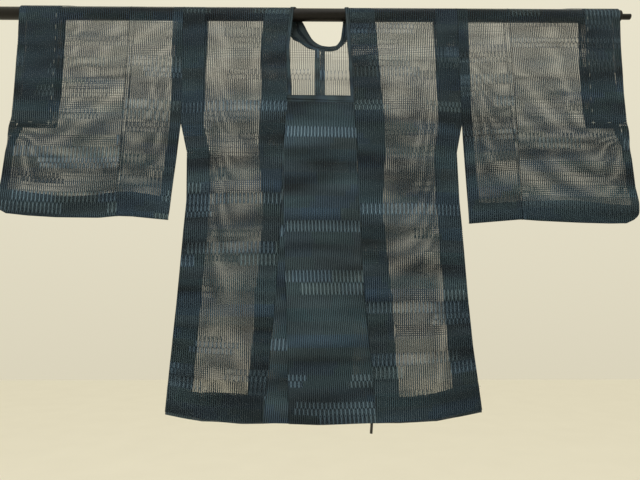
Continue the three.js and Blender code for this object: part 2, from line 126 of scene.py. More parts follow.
# Sleeves
SLEEVE_ROUND = 90
CUFF_ROUND = 80
FREE_EDGE_DEPTH = 3.4
CUFF_OPENING_Z = -275
CUFF_CLOSING = 45
CUFF_LIFT = 1.3
CUFF_LIFT_START = 545
CUFF_LIFT_RUN = 26
FACING_WIDTH = {"right": 87, "left": 78}
FACING_FOOT = {"right": -275, "left": -267}
FACING_BUNCH = 1.4
FACING_LAYER = 1.9
FACING_TURNED_OUT = -0.55
SLEEVE_TURN = {"right": 50, "left": 43}
SLEEVE_LEVEL = -484
SLEEVE_TURN_WAVE = (4, 41)
SLEEVE_WIDTH = {"inner": 120, "outer": 245}
CUFF_WIDEST = -462
ARMHOLE_ALLOWANCE = 22
SLEEVE_SEAM_ALLOWANCE = 0.9
CUFF_ALLOWANCE = 15
FACING_ALLOWANCE = 6

# Inner tie
TIE_RADIUS = 2.7
TIE_SIDES = 12
TIE_BEHIND = 5.5
TIE_STEPS_BETWEEN = 8

# Stitches: places on the cloth, and the steps along the lines that carry them
STITCH_SIDES = 6
STITCH_STEP = 12
STITCH_INSET = 0.2
SEAM_FROM_EDGE = 1.6
TACK_FROM_EDGE = 3.5
STITCH_UNEVEN = (0.75, 1.15)
STITCH_SEED = 11

# Spacing, length and thread radius of each kind of stitch
SEAM_STITCH = (4.5, 3.2, 0.3)
HEM_TACK = (24, 2.5, 0.3)
FACING_TACK = (27, 9, 0.35)

# Studio: the floor under the rod, the tones of the air round it, and the softboxes
FLOOR_LEVEL = -1.75
FLOOR_SIZE = 16
FLOOR_DARK = (0.865, 0.84, 0.77)
FLOOR_LIGHT = (0.885, 0.86, 0.79)
AIR_HIGH = (0.860, 0.815, 0.650)
AIR_LOW = (0.700, 0.650, 0.500)
AIR_RISE = 1.1
AIR_AT_LEVEL = 0.15
SOFTBOXES = (
    ("overhead softbox", (0.3, -1.2, 1.5), (40, 0, 12), 2.2, 20),
    ("front softbox", (-1.2, -2.4, 0.2), (82, 0, -26), 2.0, 20),
)

# Threads of the gauze: pitch, half width and soft edge, and the share that they cover at least
RIB_PITCH = 4.25
RIB_HALF = 0.74
RIB_SOFT = 0.3
WEFT_PITCH = 2.1
WEFT_HALF = 0.18
WEFT_SOFT = 0.5
WEFT_COVER = 0.64
HAZE = 0.11

# Blocks of the weave, and the shares of blocks or bands that each kind takes
FIGURE_ROW = 13
FIGURE_ROUND = 0.7
FIGURE_THINNER = 0.3
FIGURE_LIFT = 0.3
BLOCK_WIDTH = 95
BAND_STAGGER = 37.0
ROW_STAGGER = 0.3
FIGURED_BLOCKS = 0.60
TALL_FIGURES = 0.55
NET_BANDS = 0.12
SLIT_BANDS = 0.08

# How far the threads wander, and what widens them and makes the wefts cover more or less
DRIFT_SCALE = 3
DRIFT_ACROSS = 9.0
DRIFT_ALONG = 6.0
BUNCH_WIDENS = 0.25
SELVEDGE_WIDENS = 0.8
WEFT_WIDENED = {"extra": 0.7, "streaks": 0.4, "slit": 0.25, "net": 0.2, "figured": 0.2}
WEFT_COVERS = {"extra": 0.5, "slit": -0.3}

# Streaks along the wefts, as scales across and along, and how they light and darken the colours
WEFT_STREAKS = (2.2, 17)
TONE_STREAKS = (4, 21)
TONE_SWING = 2.2
TONE_BASE = -0.1
TONE_FLOOR = 0.45

# Colours
RIB_TEAL = (0.032, 0.060, 0.074)
RIB_NAVY = (0.027, 0.054, 0.092)
RIB_GREY = (0.036, 0.052, 0.062)
GROUND_TEAL = (0.009, 0.018, 0.022)
GROUND_NAVY = (0.007, 0.015, 0.028)
FIGURE_TEAL = (0.098, 0.142, 0.165)
FIGURE_NAVY = (0.088, 0.145, 0.205)
# The braid's darker tone is painted shade for the valleys between its strands; the lighter one is the
# strands' own colour
BRAID_VALLEY_SHADE = (0.008, 0.008, 0.007)
BRAID_LIGHT = (0.034, 0.032, 0.026)
ROD_DARK = (0.0035, 0.003, 0.0025)
ROD_LIGHT = (0.008, 0.0065, 0.005)
THREAD_DARK = (0.006, 0.012, 0.018)
THREAD_LIGHT = (0.020, 0.036, 0.048)
TACKING_DARK = (0.20, 0.22, 0.21)
TACKING_LIGHT = (0.36, 0.38, 0.36)

# Finishes: how far fine grain, and the painted shade between crossing strands, part the two tones, and how
# far the roughness drifts
MOTTLE_CONTRAST = 2.4
BRAID_SHADE_CONTRAST = 2.6
ROUGHNESS_DRIFT = 0.2

# Where each piece is cut from the weave: its start across and along the cloth
WEAVE_START = {
    "body": {"right": (0, 0), "left": (0, 230)},
    "sleeve_inner": {"right": (310, 90), "left": (310, 710)},
    "sleeve_outer": {"right": (95, 305), "left": (95, 495)},
    "cuff_facing": {"right": (40, 60), "left": (40, 240)},
    "front_panel": {"right": (20, 510), "left": (20, 60)},
}


def table(columns, *rows):
    """A size table: each named column as an array."""
    return {name: np.array(values, float) for name, values in zip(columns.split(), zip(*rows))}


# Armhole and side seam: distance from the middle at each height
SIDE_EDGE = table(
    "z right left",
    (0, 308, 311),
    (-263, 306, 313),
    (-330, 289.5, 298.5),
    (-438, 285.5, 299),
    (-500, 289, 302),
    (-648, 295.5, 307),
    (-760, 301.5, 312.5),
    (-905, 309, 325),
)

# Neck opening at the front: the neck band's inner edge
NECK_EDGE = table(
    "z right left",
    (0, 60, 57),
    (-82, 68, 61),
    (-117, 67, 63),
    (-204, 62, 66),
)

# Neck band at the back, from the left shoulder round to the right: inner and outer edge
BACK_NECK = table(
    "inner_x inner_z outer_x outer_z",
    (52.5, -15, 64.6, -17),
    (50.3, -32, 64.8, -35),
    (47, -52, 60.5, -53.5),
    (38, -65.5, 43, -74.5),
    (29, -68, 34, -79),
    (19, -68.8, 22, -81),
    (1, -65.5, 0, -79.5),
    (-16, -53, -26, -74.5),
    (-28, -33, -47, -59.5),
    (-38.5, -11, -66, -46),
)
BACK_FOLD_INNER = {"right": -46, "left": 53.5}
BACK_FOLD_OUTER = {"right": -66, "left": 64}

# Where the two body pieces begin across the back, below the back neck
BACK_EDGE = table(
    "z right left",
    (0, 66.4, 64.4),
    (-17, 66.4, 65),
    (-35, 66.4, 65.2),
    (-46, 66.4, 62.7),
    (-53.5, 55.8, 60.9),
    (-59.5, 47.4, 55.9),
    (-74.8, 26.6, 43.3),
    (-79.4, 4, 34.6),
    (-81.4, 3, 22.4),
    (-82.4, 0, 0),
    (-905, 0, 0),
)

# Centre-front seam, the free edge beyond the middle, and the allowance turned behind the seam
FRONT_EDGE = table(
    "z seam_right seam_left free allowance_right allowance_left",
    (0, 70, 74, 71, 58, 60),
    (-221, 70, 74, 71.5, 60, 64),
    (-327, 79, 80, 78, 52, 60),
    (-460, 83, 83, 76, 36, 48),
    (-550, 86, 86, 73, 38, 52),
    (-638, 90.5, 90.5, 70, 42, 56),
    (-709, 96.5, 96.5, 67, 37, 52),
    (-770, 101.5, 101.5, 65, 37, 50),
    (-905, 113, 113, 61, 36, 48),
)

# Hem height across, front and back
HEM_LINE = table(
    "x front back",
    (0, -891, -892),
    (110, -888, -894.5),
    (160, -886, -895),
    (236, -880, -890),
    (322, -866, -871),
)

# Soft waves of the body, growing towards the hem: length, shift and depth
BODY_WAVES = {
    "front": ((214, 0.6, 1.7), (131, 2.1, 0.7)),
    "back": ((187, 2.4, 2.1), (118, 0.2, 0.9)),
}

# Sleeve: seam positions, free edge and cuff at each height, bottom line, and half depth down the sleeve
SLEEVE_EDGE = table(
    "z inner_right inner_left seam cuff_right cuff_left",
    (0, 308, 311, 428, 676, 681),
    (-82, 307.5, 311.5, 428, 671.5, 675),
    (-200, 306.5, 312.5, 429.5, 669, 671),
    (-263, 306, 313, 430, 669, 671.5),
    (-300, 309, 314, 430.5, 677.5, 678),
    (-345, 312, 315, 431, 681.5, 681),
    (-405, 317, 316.5, 432, 683.5, 682),
    (-440, 319.5, 317.5, 432, 686.5, 686.5),
    (-462, 321, 318, 432, 687.5, 684.5),
    (-472, 322, 318, 432, 686, 678),
    (-480, 323, 318, 432, 680, 667),
    (-484, 323, 318, 432, 667, 656),
)
SLEEVE_BOTTOM = table(
    "x right left",
    (318, -480, -486.5),
    (365, -475.5, -482.5),
    (400, -472, -479.5),
    (430, -471, -477),
    (470, -475, -480),
    (560, -474, -484),
    (620, -470.5, -485.5),
    (680, -464, -484.5),
)
SLEEVE_SECTION = table(
    "z depth",
    (0, HANG_DEPTH),
    (-120, 15.0),
    (-240, 12.6),
    (-350, 9.0),
    (-430, 5.4),
    (-484, 2.6),
)

# How much closer the threads look where cloth is turned in, how much of their own bunching is lost there,
# and how much closer they look in a crease
TURNED_BUNCH = 3.0
TURNED_CALM = 0.6
CREASE_BUNCH = 2.2
CREASE_END = 1.25

# How closely the threads lie at each height: opener over the shoulders, closest at the waist
THREAD_SPREAD = table(
    "z bunch",
    (0, -1.0),
    (-120, -0.9),
    (-263, 0.0),
    (-380, 0.45),
    (-650, 0.3),
    (-740, -0.35),
    (-905, -0.35),
)

# Tie: sewn at the right front panel's free edge, hanging behind the left front, free end below the hem
TIE_ROUTE = (
    (78.9, -452),
    (79.7, -468),
    (81.2, -490),
    (83.2, -522),
    (85.4, -556),
    (87.6, -590),
    (90, -626),
    (92.4, -662),
    (94.8, -698),
    (97, -734),
    (99, -770),
    (100.6, -804),
    (101.7, -836),
    (102.1, -864),
    (101.5, -889),
    (100, -909),
)

# Main creases: middle across and in height, half length, half width, slope in degrees, bow,
# depth inwards, and how far the threads bunch together in it
CREASES = {
    ("sleeve", 1, "front"): (
        (505, -118, 70, 7.2, 6, 4, 1.8, 0.25),
        (560, -196, 84, 5.6, -4, -5, 2.2, 0.4),
        (392, -236, 48, 6.4, 8, 3, 1.6, 0.3),
        (470, -330, 66, 7.2, 5, 6, 1.8, 0.35),
        (604, -388, 58, 6.4, -9, -4, 1.5, 0.3),
    ),
    ("sleeve", -1, "front"): (
        (-492, -172, 78, 4.8, -2, 3, 2.6, 0.75),
        (-372, -178, 34, 4.8, -3, -2, 1.8, 0.45),
        (-455, -310, 34, 7.2, -3, 3, 2.0, 0.5),
        (-524, -60, 40, 8, 4, 3, 1.6, 0.35),
        (-540, -250, 72, 9.6, 9, 8, 1.6, 0.15),
        (-590, -352, 60, 6.4, 4, -4, 1.5, 0.3),
    ),
    ("sleeve", 1, "back"): (
        (500, -150, 92, 7.2, -5, 6, 2.2, 0.4),
        (600, -270, 60, 6.4, 7, -4, 1.8, 0.3),
        (380, -320, 40, 6.4, -8, 3, 1.5, 0.3),
    ),
    ("sleeve", -1, "back"): (
        (-560, -130, 80, 7.2, 6, 5, 2.2, 0.4),
        (-440, -262, 70, 6.4, -6, -5, 1.9, 0.35),
        (-610, -372, 50, 6.4, 5, 4, 1.5, 0.3),
    ),
    ("body", 1, "front"): (
        (206, -118, 60, 7.2, 3, 3, 1.6, 0.3),
        (190, -262, 74, 7.2, -3, 4, 1.9, 0.35),
        (214, -430, 62, 8, 4, -5, 1.6, 0.3),
        (186, -612, 56, 8.8, -5, 4, 1.6, 0.25),
    ),
    ("body", -1, "front"): (
        (-196, -150, 66, 7.2, -4, 4, 1.7, 0.3),
        (-214, -305, 58, 7.2, 3, -4, 1.6, 0.3),
        (-190, -505, 70, 8, -3, 5, 1.8, 0.3),
        (-216, -700, 52, 8.8, 4, -4, 1.5, 0.25),
    ),
    ("body", 1, "back"): (
        (150, -170, 120, 8.8, -4, 8, 2.4, 0.35),
        (120, -372, 96, 8.8, 5, -6, 2.0, 0.3),
        (188, -580, 84, 9.6, -3, 6, 1.9, 0.25),
        (96, -742, 70, 9.6, 4, -5, 1.7, 0.2),
    ),
    ("body", -1, "back"): (
        (-140, -205, 110, 8.8, 5, 7, 2.3, 0.35),
        (-176, -418, 90, 8.8, -4, -6, 2.0, 0.3),
        (-110, -628, 92, 9.6, 3, 6, 1.9, 0.25),
        (-200, -780, 60, 9.6, -5, 4, 1.6, 0.2),
    ),
}


def clamp(value):
    return np.clip(value, 0, 1)


def ease(value):
    t = clamp(value)
    return t * t * (3 - 2 * t)


def blend(a, b, t):
    return a + (b - a) * t


def lookup(rows, at, column, key="z"):
    """Straight interpolation of a size table's column, by height or by another key."""
    order = np.argsort(rows[key])
    return np.interp(at, rows[key][order], rows[column][order])


def side_name(side):
    return "left" if side > 0 else "right"


def seam_depth(z):
    return blend(HANG_DEPTH, CLOSED_DEPTH, ease(z / ARMPIT_Z))


def body_wave(x, z, face):
    total = sum(depth * np.sin(2 * math.pi * x / length + shift) for length, shift, depth in BODY_WAVES[face])
    return total * ease(z / HEM_LEVEL)


def creases(key, x, z):
    """Depth of the main creases at a place on the cloth, and how far the threads bunch there."""
    depth, bunch = np.zeros(np.shape(x)), np.zeros(np.shape(x))
    for middle_x, middle_z, reach, width, slope, bow, inwards, bunched in CREASES[key]:
        angle = math.radians(slope)
        along = (x - middle_x) * math.cos(angle) + (z - middle_z) * math.sin(angle)
        across = (z - middle_z) * math.cos(angle) - (x - middle_x) * math.sin(angle)
        share = along / reach
        strength = np.exp(-(((across - bow * share**2) / width) ** 2)) * ease(CREASE_END - np.abs(share))
        depth = depth + inwards * strength
        bunch = bunch + CREASE_BUNCH * bunched * strength
    return depth, bunch


def body_depth(x, z, face):
    """Half depth of the body's outer face."""
    edge = np.where(x > 0, lookup(SIDE_EDGE, z, "left"), lookup(SIDE_EDGE, z, "right"))
    opened = ease((edge - np.abs(x)) / SIDE_ROUND)
    return blend(seam_depth(z), HANG_DEPTH + body_wave(x, z, face), opened)


def body_height(x, z, face):
    hem = lookup(HEM_LINE, np.abs(x), face, "x")
    share = ease((HEM_SHAPED_BELOW - z) / (HEM_SHAPED_BELOW - HEM_LEVEL))
    return z + (hem - HEM_LEVEL) * share


def sleeve_depth(side, x, z):
    """Half depth of a sleeve's outer face."""
    reach = np.abs(x)
    middle = lookup(SLEEVE_SECTION, z, "depth")
    inner_edge = lookup(SLEEVE_EDGE, z, "inner_" + side_name(side))
    cuff_edge = lookup(SLEEVE_EDGE, z, "cuff_" + side_name(side))
    below = ease((ARMPIT_Z - z) / CUFF_CLOSING)
    inner_depth = np.minimum(middle, blend(seam_depth(z), FREE_EDGE_DEPTH, below))
    closed = ease((CUFF_OPENING_Z - z) / CUFF_CLOSING)
    cuff_depth = np.minimum(middle, blend(middle, CLOSED_DEPTH, closed))
    from_body = ease((reach - inner_edge) / SLEEVE_ROUND)
    from_cuff = ease((cuff_edge - reach) / CUFF_ROUND)
    lift = CUFF_LIFT * ease((reach - CUFF_LIFT_START) / CUFF_LIFT_RUN) * (1 - closed)
    return np.minimum(blend(inner_depth, middle, from_body), blend(cuff_depth, middle, from_cuff)) + lift


def sleeve_height(side, x, z):
    bottom = lookup(SLEEVE_BOTTOM, np.abs(x), side_name(side), "x")
    return z * blend(1, bottom / SLEEVE_LEVEL, ease(z / SLEEVE_LEVEL))


def front_start(side, z):
    """Where a body piece begins at the front: beside the neck band, then at the centre-front seam."""
    beside_band = lookup(NECK_EDGE, z, side_name(side)) + FRONT_BAND_WIDTH + SEAM_GAP
    at_seam = lookup(FRONT_EDGE, z, "seam_" + side_name(side)) + SEAM_GAP / 2
    return np.where(z >= BAND_BOTTOM, beside_band - BAND_COVER, at_seam)


def panel_depth(side, x, z):
    """Half depth of a front panel: the left one comes forward to its free edge, the right one goes back."""
    seam = side * lookup(FRONT_EDGE, z, "seam_" + side_name(side))
    free = -side * lookup(FRONT_EDGE, z, "free")
    share = clamp((x - seam) / (free - seam))
    return body_depth(x, z, "front") + PANEL_PROUD + side * PANEL_SHIFT * share


def both_faces(theta, at_front, at_back):
    """The front's value up to the top of the fold over the rod, and the back's beyond it."""
    return np.where(theta > math.pi / 2, at_back, at_front)


def creased(part, side, x, z, theta, inset, depth, height, calm):
    """Point of the cloth, and its bunching, with its creases drawn inwards where calm lets them."""
    front = creases((part, side, "front"), x, z)
    back = creases((part, side, "back"), x, z)
    depth = depth - calm * both_faces(theta, front[0], back[0]) - inset
    point = (x, -depth * np.cos(theta), height + depth * np.sin(theta))
    spread = lookup(THREAD_SPREAD, z, "bunch")
    return np.stack(np.broadcast_arrays(*point), -1), both_faces(theta, front[1], back[1]) + spread


def body_place(side, reach, z, theta, inset):
    """Point of the body's cloth, and its bunching, at a reach from the middle and a height."""
    x = side * reach
    depth = both_faces(theta, body_depth(x, z, "front"), body_depth(x, z, "back"))
    height = both_faces(theta, body_height(x, z, "front"), body_height(x, z, "back"))
    calm = ease((lookup(SIDE_EDGE, z, side_name(side)) - reach) / SIDE_ROUND)
    return creased("body", side, x, z, theta, inset, depth, height, calm)


def sleeve_place(side, reach, z, theta, inset):
    """Point of a sleeve's cloth, and its bunching."""
    x = side * reach
    depth, height = sleeve_depth(side, x, z), sleeve_height(side, x, z)
    inner_edge = lookup(SLEEVE_EDGE, z, "inner_" + side_name(side))
    cuff_edge = lookup(SLEEVE_EDGE, z, "cuff_" + side_name(side))
    calm = ease((reach - inner_edge) / SLEEVE_ROUND) * ease((cuff_edge - reach) / CUFF_ROUND)
    return creased("sleeve", side, x, z, theta, inset, depth, height, calm)


def even_steps(start, end, step):
    return np.linspace(start, end, max(2, round(abs(end - start) / step) + 1))


def rows_over_rod(bottom, turn_up):
    """Rows of cloth from the turned-up front hem, over the rod, to the turned-up back hem.

    Each row has its height at the hem's fold, its angle over the rod, how far it is turned up inside, the
    share of the turn-up that it lies above the hem, its place along the cloth, and its own height."""
    half = []
    if turn_up:
        for lift in even_steps(1, 0, GRID_STEP / turn_up)[:-1]:
            half.append((bottom, 0, 1, lift))
        for angle in reversed(TURN_ANGLES):
            half.append((bottom - TURN_RADIUS * math.sin(angle), 0, (1 - math.cos(angle)) / 2, 0))
    for z in even_steps(bottom, 0, GRID_STEP)[:-1]:
        half.append((z, 0, 0, 0))
    fold = [(0, angle, 0, 0) for angle in np.linspace(0, math.pi, FOLD_STEPS + 1)]
    back = [(z, math.pi, tucked, lift) for z, _, tucked, lift in reversed(half)]
    z, theta, tucked, lift = np.array(half + fold + back).T
    travelled = np.hypot(np.diff(z + lift * turn_up), HANG_DEPTH * np.diff(theta))
    along = np.concatenate([[0], np.cumsum(travelled)])
    height = z + lift * turn_up
    return {"z": z, "theta": theta, "tucked": tucked, "lift": lift, "along": along, "height": height}


def wavy(height, wave, x, shift=0):
    """Height of a turn-up that is a little uneven along its edge."""
    depth, length = wave
    return height + depth * np.sin(x / length + shift)


def columns_across(width, start_allowance, end_allowance):
    """Columns of cloth from the edge of the first allowance, across the piece, to the edge of the last one.

    Each column has its share of the width, the edge that it is turned in at, the share of the allowance that
    it lies away from that edge, how far it is turned in, how much it is selvedge, and how dense it looks."""
    columns = []
    for edge, allowance in ((-1, start_allowance), (1, end_allowance)):
        turned = []
        if allowance:
            wide = allowance >= NARROW_ALLOWANCE
            shares = NARROW_COLUMNS
            if wide:
                rim = 1 - SELVEDGE_WIDTH / allowance
                shares = (ALLOWANCE_CREASE, *even_steps(ALLOWANCE_FLAT, rim, GRID_STEP / allowance)[1:], 1)
            for angle in TURN_ANGLES:
                share_turned = (1 - math.cos(angle)) / 2
                turned.append((edge, 0, share_turned, math.sin(angle), 0, share_turned * wide))
            turned.extend((edge, share, 1, 0, wide and share == 1, wide) for share in shares)
        columns.append([(max(edge, 0), *column) for column in turned])
    across = [(share, 0, 0, 0, 0, 0, 0) for share in even_steps(0, 1, GRID_STEP / width)]
    names = ("share", "edge", "away", "turned", "bulge", "selvedge", "dense")
    return dict(zip(names, np.array(columns[0][::-1] + across + columns[1], float).T))


def strip_of_cloth(side, rows, columns, edges, place, turn_up=None, layer=OUTER_LAYER):
    """Points, weave place and thread bunching of a strip that lies over the rod.

    edges gives the strip's two edges and its two allowances for each row."""
    z, theta = rows["z"][:, None], rows["theta"][:, None]
    borders = edges(rows["height"], rows["theta"])
    start, end, start_allowance, end_allowance = (np.asarray(value)[:, None] for value in borders)
    away = columns["away"] * np.where(columns["edge"] < 0, start_allowance, -end_allowance)
    flat = blend(start, end, columns["share"])
    bulge = TURN_RADIUS * columns["edge"] * columns["bulge"]
    reach = flat + away + bulge
    if turn_up:
        z = z + rows["lift"][:, None] * turn_up(side * reach)
    layers = ALLOWANCE_LAYER * columns["turned"] + TURN_UP_LAYER * rows["tucked"][:, None]
    inset = np.minimum(layer + layers, max(DEEPEST_LAYER, layer))
    points, bunch = place(side, reach, z, theta, inset)
    doubled = np.maximum(columns["dense"], rows["tucked"][:, None])
    bunch = bunch * (1 - TURNED_CALM * doubled) + TURNED_BUNCH * doubled
    weave = np.stack(np.broadcast_arrays(flat - away, rows["along"][:, None]), -1)
    selvedge = np.broadcast_to(columns["selvedge"], reach.shape)
    return points, weave, np.broadcast_to(bunch, reach.shape), selvedge


def place_object(name, data):
    item = bpy.data.objects.new(name, data)
    bpy.context.scene.collection.objects.link(item)
    return item


def cloth_object(name, points, weave, bunch, selvedge, flip, shift):
    """A thin shell of cloth from a grid of points, with the weave laid along the cloth's own length."""
    rows, columns = points.shape[:2]
    index = np.arange(rows * columns).reshape(rows, columns)
    quads = np.stack([index[:-1, :-1], index[:-1, 1:], index[1:, 1:], index[1:, :-1]], -1).reshape(-1, 4)
    if flip:
        quads = quads[:, ::-1]
    mesh = bpy.data.meshes.new(name)
    mesh.from_pydata((points.reshape(-1, 3) * MM).tolist(), [], quads.tolist())
    uv = mesh.uv_layers.new(name="weave")
    at = (weave.reshape(-1, 2) + np.array(shift)) * MM
    uv.data.foreach_set("uv", at[quads.reshape(-1)].astype(np.float32).ravel())
    for label, values in (("bunch", bunch), ("selvedge", selvedge)):
        attribute = mesh.attributes.new(label, "FLOAT", "POINT")
        attribute.data.foreach_set("value", np.asarray(values, np.float32).ravel())
    mesh.shade_smooth()
    piece = place_object(name, mesh)
    shell = piece.modifiers.new("cloth thickness", "SOLIDIFY")
    shell.thickness = CLOTH_THICKNESS * MM
    shell.offset = 0
    return piece


def finish_piece(piece, material, slot, *nodes):
    if not piece.data.materials:
        piece.data.materials.append(material)
    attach(piece, "root")
    if nodes:
        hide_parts(*nodes)


class Field:
    """A number that varies over the cloth, worked out by Math nodes."""

    def __init__(self, tree, socket):
        self.tree = tree
        self.socket = socket

    def math(self, operation, *others, limited=False):
        node = self.tree.nodes.new("ShaderNodeMath")
        node.operation = operation
        node.use_clamp = limited
        for socket, value in zip(node.inputs, (self, *others)):
            if isinstance(value, Field):
                self.tree.links.new(value.socket, socket)
            else:
                socket.default_value = value
        return Field(self.tree, node.outputs[0])

    def __add__(self, other):
        return self.math("ADD", other)

    def __sub__(self, other):
        return self.math("SUBTRACT", other)

    def __mul__(self, other):
        return self.math("MULTIPLY", other)

    def __truediv__(self, other):
        return self.math("DIVIDE", other)

    def times_plus(self, factor, term):
        return self.math("MULTIPLY_ADD", factor, term)

    def whole(self):
        return self.math("FLOOR")

    def part(self):
        return self.math("FRACT")

    def size(self):
        return self.math("ABSOLUTE")

    def over(self, limit):
        return self.math("GREATER_THAN", limit)

    def under(self, limit):
        return self.math("LESS_THAN", limit)

    def above(self, other):
        return self.math("MAXIMUM", other)

    def thread(self, half_width, softness):
        """1 within half a thread's width of its middle, falling to 0 over its soft edge."""
        return (half_width - self).math("MULTIPLY_ADD", 1 / softness, 0.5, limited=True)


def chance(tree, along, across):
    """An even random number, and a random colour that begins with it, for each pair of whole places."""
    place = tree.nodes.new("ShaderNodeCombineXYZ")
    tree.links.new(along.socket, place.inputs[0])
    tree.links.new(across.socket, place.inputs[1])
    noise = tree.nodes.new("ShaderNodeTexWhiteNoise")
    noise.noise_dimensions = "2D"
    tree.links.new(place.outputs[0], noise.inputs["Vector"])
    return Field(tree, noise.outputs["Value"]), noise.outputs["Color"]


def soft_noise(tree, vector, scale, detail):
    noise = tree.nodes.new("ShaderNodeTexNoise")
    noise.noise_dimensions = "2D"
    noise.inputs["Scale"].default_value = scale
    noise.inputs["Detail"].default_value = detail
    tree.links.new(vector, noise.inputs["Vector"])
    return Field(tree, noise.outputs["Fac"])


def parts_of(tree, colour):
    """The three numbers of a colour."""
    parts = tree.nodes.new("ShaderNodeSeparateColor")
    tree.links.new(colour, parts.inputs[0])
    return [Field(tree, socket) for socket in parts.outputs]


def stretched(tree, vector, across, along):
    """The vector with its two first parts scaled."""
    scaled = tree.nodes.new("ShaderNodeVectorMath")
    scaled.operation = "MULTIPLY"
    scaled.inputs[1].default_value = (across, along, 1)
    tree.links.new(vector, scaled.inputs[0])
    return scaled.outputs[0]


def brightened(tree, colour, factor):
    """The colour times a factor."""
    scaled = tree.nodes.new("ShaderNodeVectorMath")
    scaled.operation = "SCALE"
    tree.links.new(colour, scaled.inputs[0])
    tree.links.new(factor.socket, scaled.inputs["Scale"])
    return scaled.outputs[0]


def mix_colours(tree, share, first, second):
    """The first colour where share is 0, and the second where it is 1."""
    mix = tree.nodes.new("ShaderNodeMix")
    mix.data_type = "RGBA"
    tree.links.new(share.socket, mix.inputs["Factor"])
    sockets = [socket for socket in mix.inputs if socket.type == "RGBA"]
    for socket, colour in zip(sockets, (first, second)):
        if isinstance(colour, tuple):
            socket.default_value = (*colour, 1)
        else:
            tree.links.new(colour, socket)
    return next(socket for socket in mix.outputs if socket.type == "RGBA")


def blank_material(name):
    """A new material, its node tree and its shader."""
    material = bpy.data.materials.new(name)
    material.use_nodes = True
    return material, material.node_tree, material.node_tree.nodes["Principled BSDF"]


def weave_map(tree):
    """The map that a piece carries, and its places across and along the cloth in metres."""
    uv = tree.nodes.new("ShaderNodeUVMap")
    uv.uv_map = "weave"
    place = tree.nodes.new("ShaderNodeSeparateXYZ")
    tree.links.new(uv.outputs[0], place.inputs[0])
    return uv.outputs[0], Field(tree, place.outputs[0]), Field(tree, place.outputs[1])


def point_field(tree, name):
    """A number that the cloth's points carry."""
    node = tree.nodes.new("ShaderNodeAttribute")
    node.attribute_name = name
    return Field(tree, node.outputs["Fac"])


def gauze_material(name, closeness, figured_share=0.25, depth=0.94):
    """Sheer gauze of straight ribs, woven in blocks: lens figures, open net, long slits and close ground.

    closeness widens every thread, in millimetres, figured_share is the share of bands with lens figures, and
    depth lightens or darkens every colour."""
    material, tree, shader = blank_material(name)
    woven_place, across, along = weave_map(tree)
    drift = soft_noise(tree, woven_place, DRIFT_SCALE, 0)
    across = across.times_plus(1 / MM, drift * DRIFT_ACROSS)
    along = along.times_plus(1 / MM, drift * DRIFT_ALONG)

    band = (along / (2 * FIGURE_ROW)).whole()
    band_chance, band_tint = chance(tree, band, band)
    tall = band_chance.under(figured_share * TALL_FIGURES)
    row_height = tall * FIGURE_ROW + FIGURE_ROW
    row_place = along / row_height
    row = row_place.whole()
    in_row = row_place.part()
    row_chance, _ = chance(tree, row, band_chance)
    block = (across / BLOCK_WIDTH + band_chance * BAND_STAGGER + row_chance * ROW_STAGGER).whole()
    kind, tint = chance(tree, block, band)
    _, shade, hue = parts_of(tree, tint)
    band_figured, band_open, band_shade = parts_of(tree, band_tint)

    figured = kind.under(FIGURED_BLOCKS) * band_figured.under(figured_share)
    net = kind.over(FIGURED_BLOCKS) * band_open.under(NET_BANDS)
    slit = kind.over(FIGURED_BLOCKS) * band_open.over(1 - SLIT_BANDS)
    pair = (across / (2 * RIB_PITCH) + row * 0.5).part()
    from_pair = (pair - 0.5).size() * (2 * RIB_PITCH)
    lean = (in_row * math.pi).math("SINE").math("POWER", FIGURE_ROUND) * figured
    from_rib = (from_pair - (lean * (-RIB_PITCH / 2) + RIB_PITCH / 2)).size()

    extra = point_field(tree, "bunch") * BUNCH_WIDENS + point_field(tree, "selvedge") * SELVEDGE_WIDENS
    extra = extra + closeness
    ribs = from_rib.thread(lean * -FIGURE_THINNER + extra + RIB_HALF, RIB_SOFT)
    streaks = soft_noise(tree, stretched(tree, woven_place, *WEFT_STREAKS), 1, 1)
    weft_pitch = net * WEFT_PITCH + slit * (FIGURE_ROW - WEFT_PITCH) + WEFT_PITCH
    from_weft = ((along / weft_pitch).part() - 0.5).size() * weft_pitch
    widened = extra * WEFT_WIDENED["extra"] + streaks * WEFT_WIDENED["streaks"] + slit * WEFT_WIDENED["slit"]
    widened = widened + net * WEFT_WIDENED["net"] + figured * WEFT_WIDENED["figured"]
    weft_share = extra * WEFT_COVERS["extra"] + slit * WEFT_COVERS["slit"] + WEFT_COVER
    wefts = from_weft.thread(widened + WEFT_HALF, WEFT_SOFT) * weft_share.math("MINIMUM", 1.0)
    cover = ribs.above(wefts) * (1 - HAZE) + HAZE

    ground = mix_colours(tree, hue, GROUND_TEAL, GROUND_NAVY)
    rib_colour = mix_colours(tree, hue, RIB_TEAL, RIB_NAVY)
    rib_colour = mix_colours(tree, band_shade.times_plus(0.5, shade * 0.5), rib_colour, RIB_GREY)
    figure_colour = mix_colours(tree, hue, FIGURE_TEAL, FIGURE_NAVY)
    rib_colour = mix_colours(tree, lean, rib_colour, figure_colour)
    ground = mix_colours(tree, lean * FIGURE_LIFT, ground, rib_colour)
    woven = mix_colours(tree, ribs, ground, rib_colour)
    tone = soft_noise(tree, stretched(tree, woven_place, *TONE_STREAKS), 1, 1)
    tone = tone.times_plus(TONE_SWING, TONE_BASE).above(TONE_FLOOR)
    colour = brightened(tree, woven, tone * depth)
    tree.links.new(colour, shader.inputs["Base Color"])
    tree.links.new(cover.socket, shader.inputs["Alpha"])
    shader.inputs["Roughness"].default_value = 0.75
    shader.inputs["Sheen Weight"].default_value = 0.04
    shader.inputs["Specular IOR Level"].default_value = 0.15
    return material


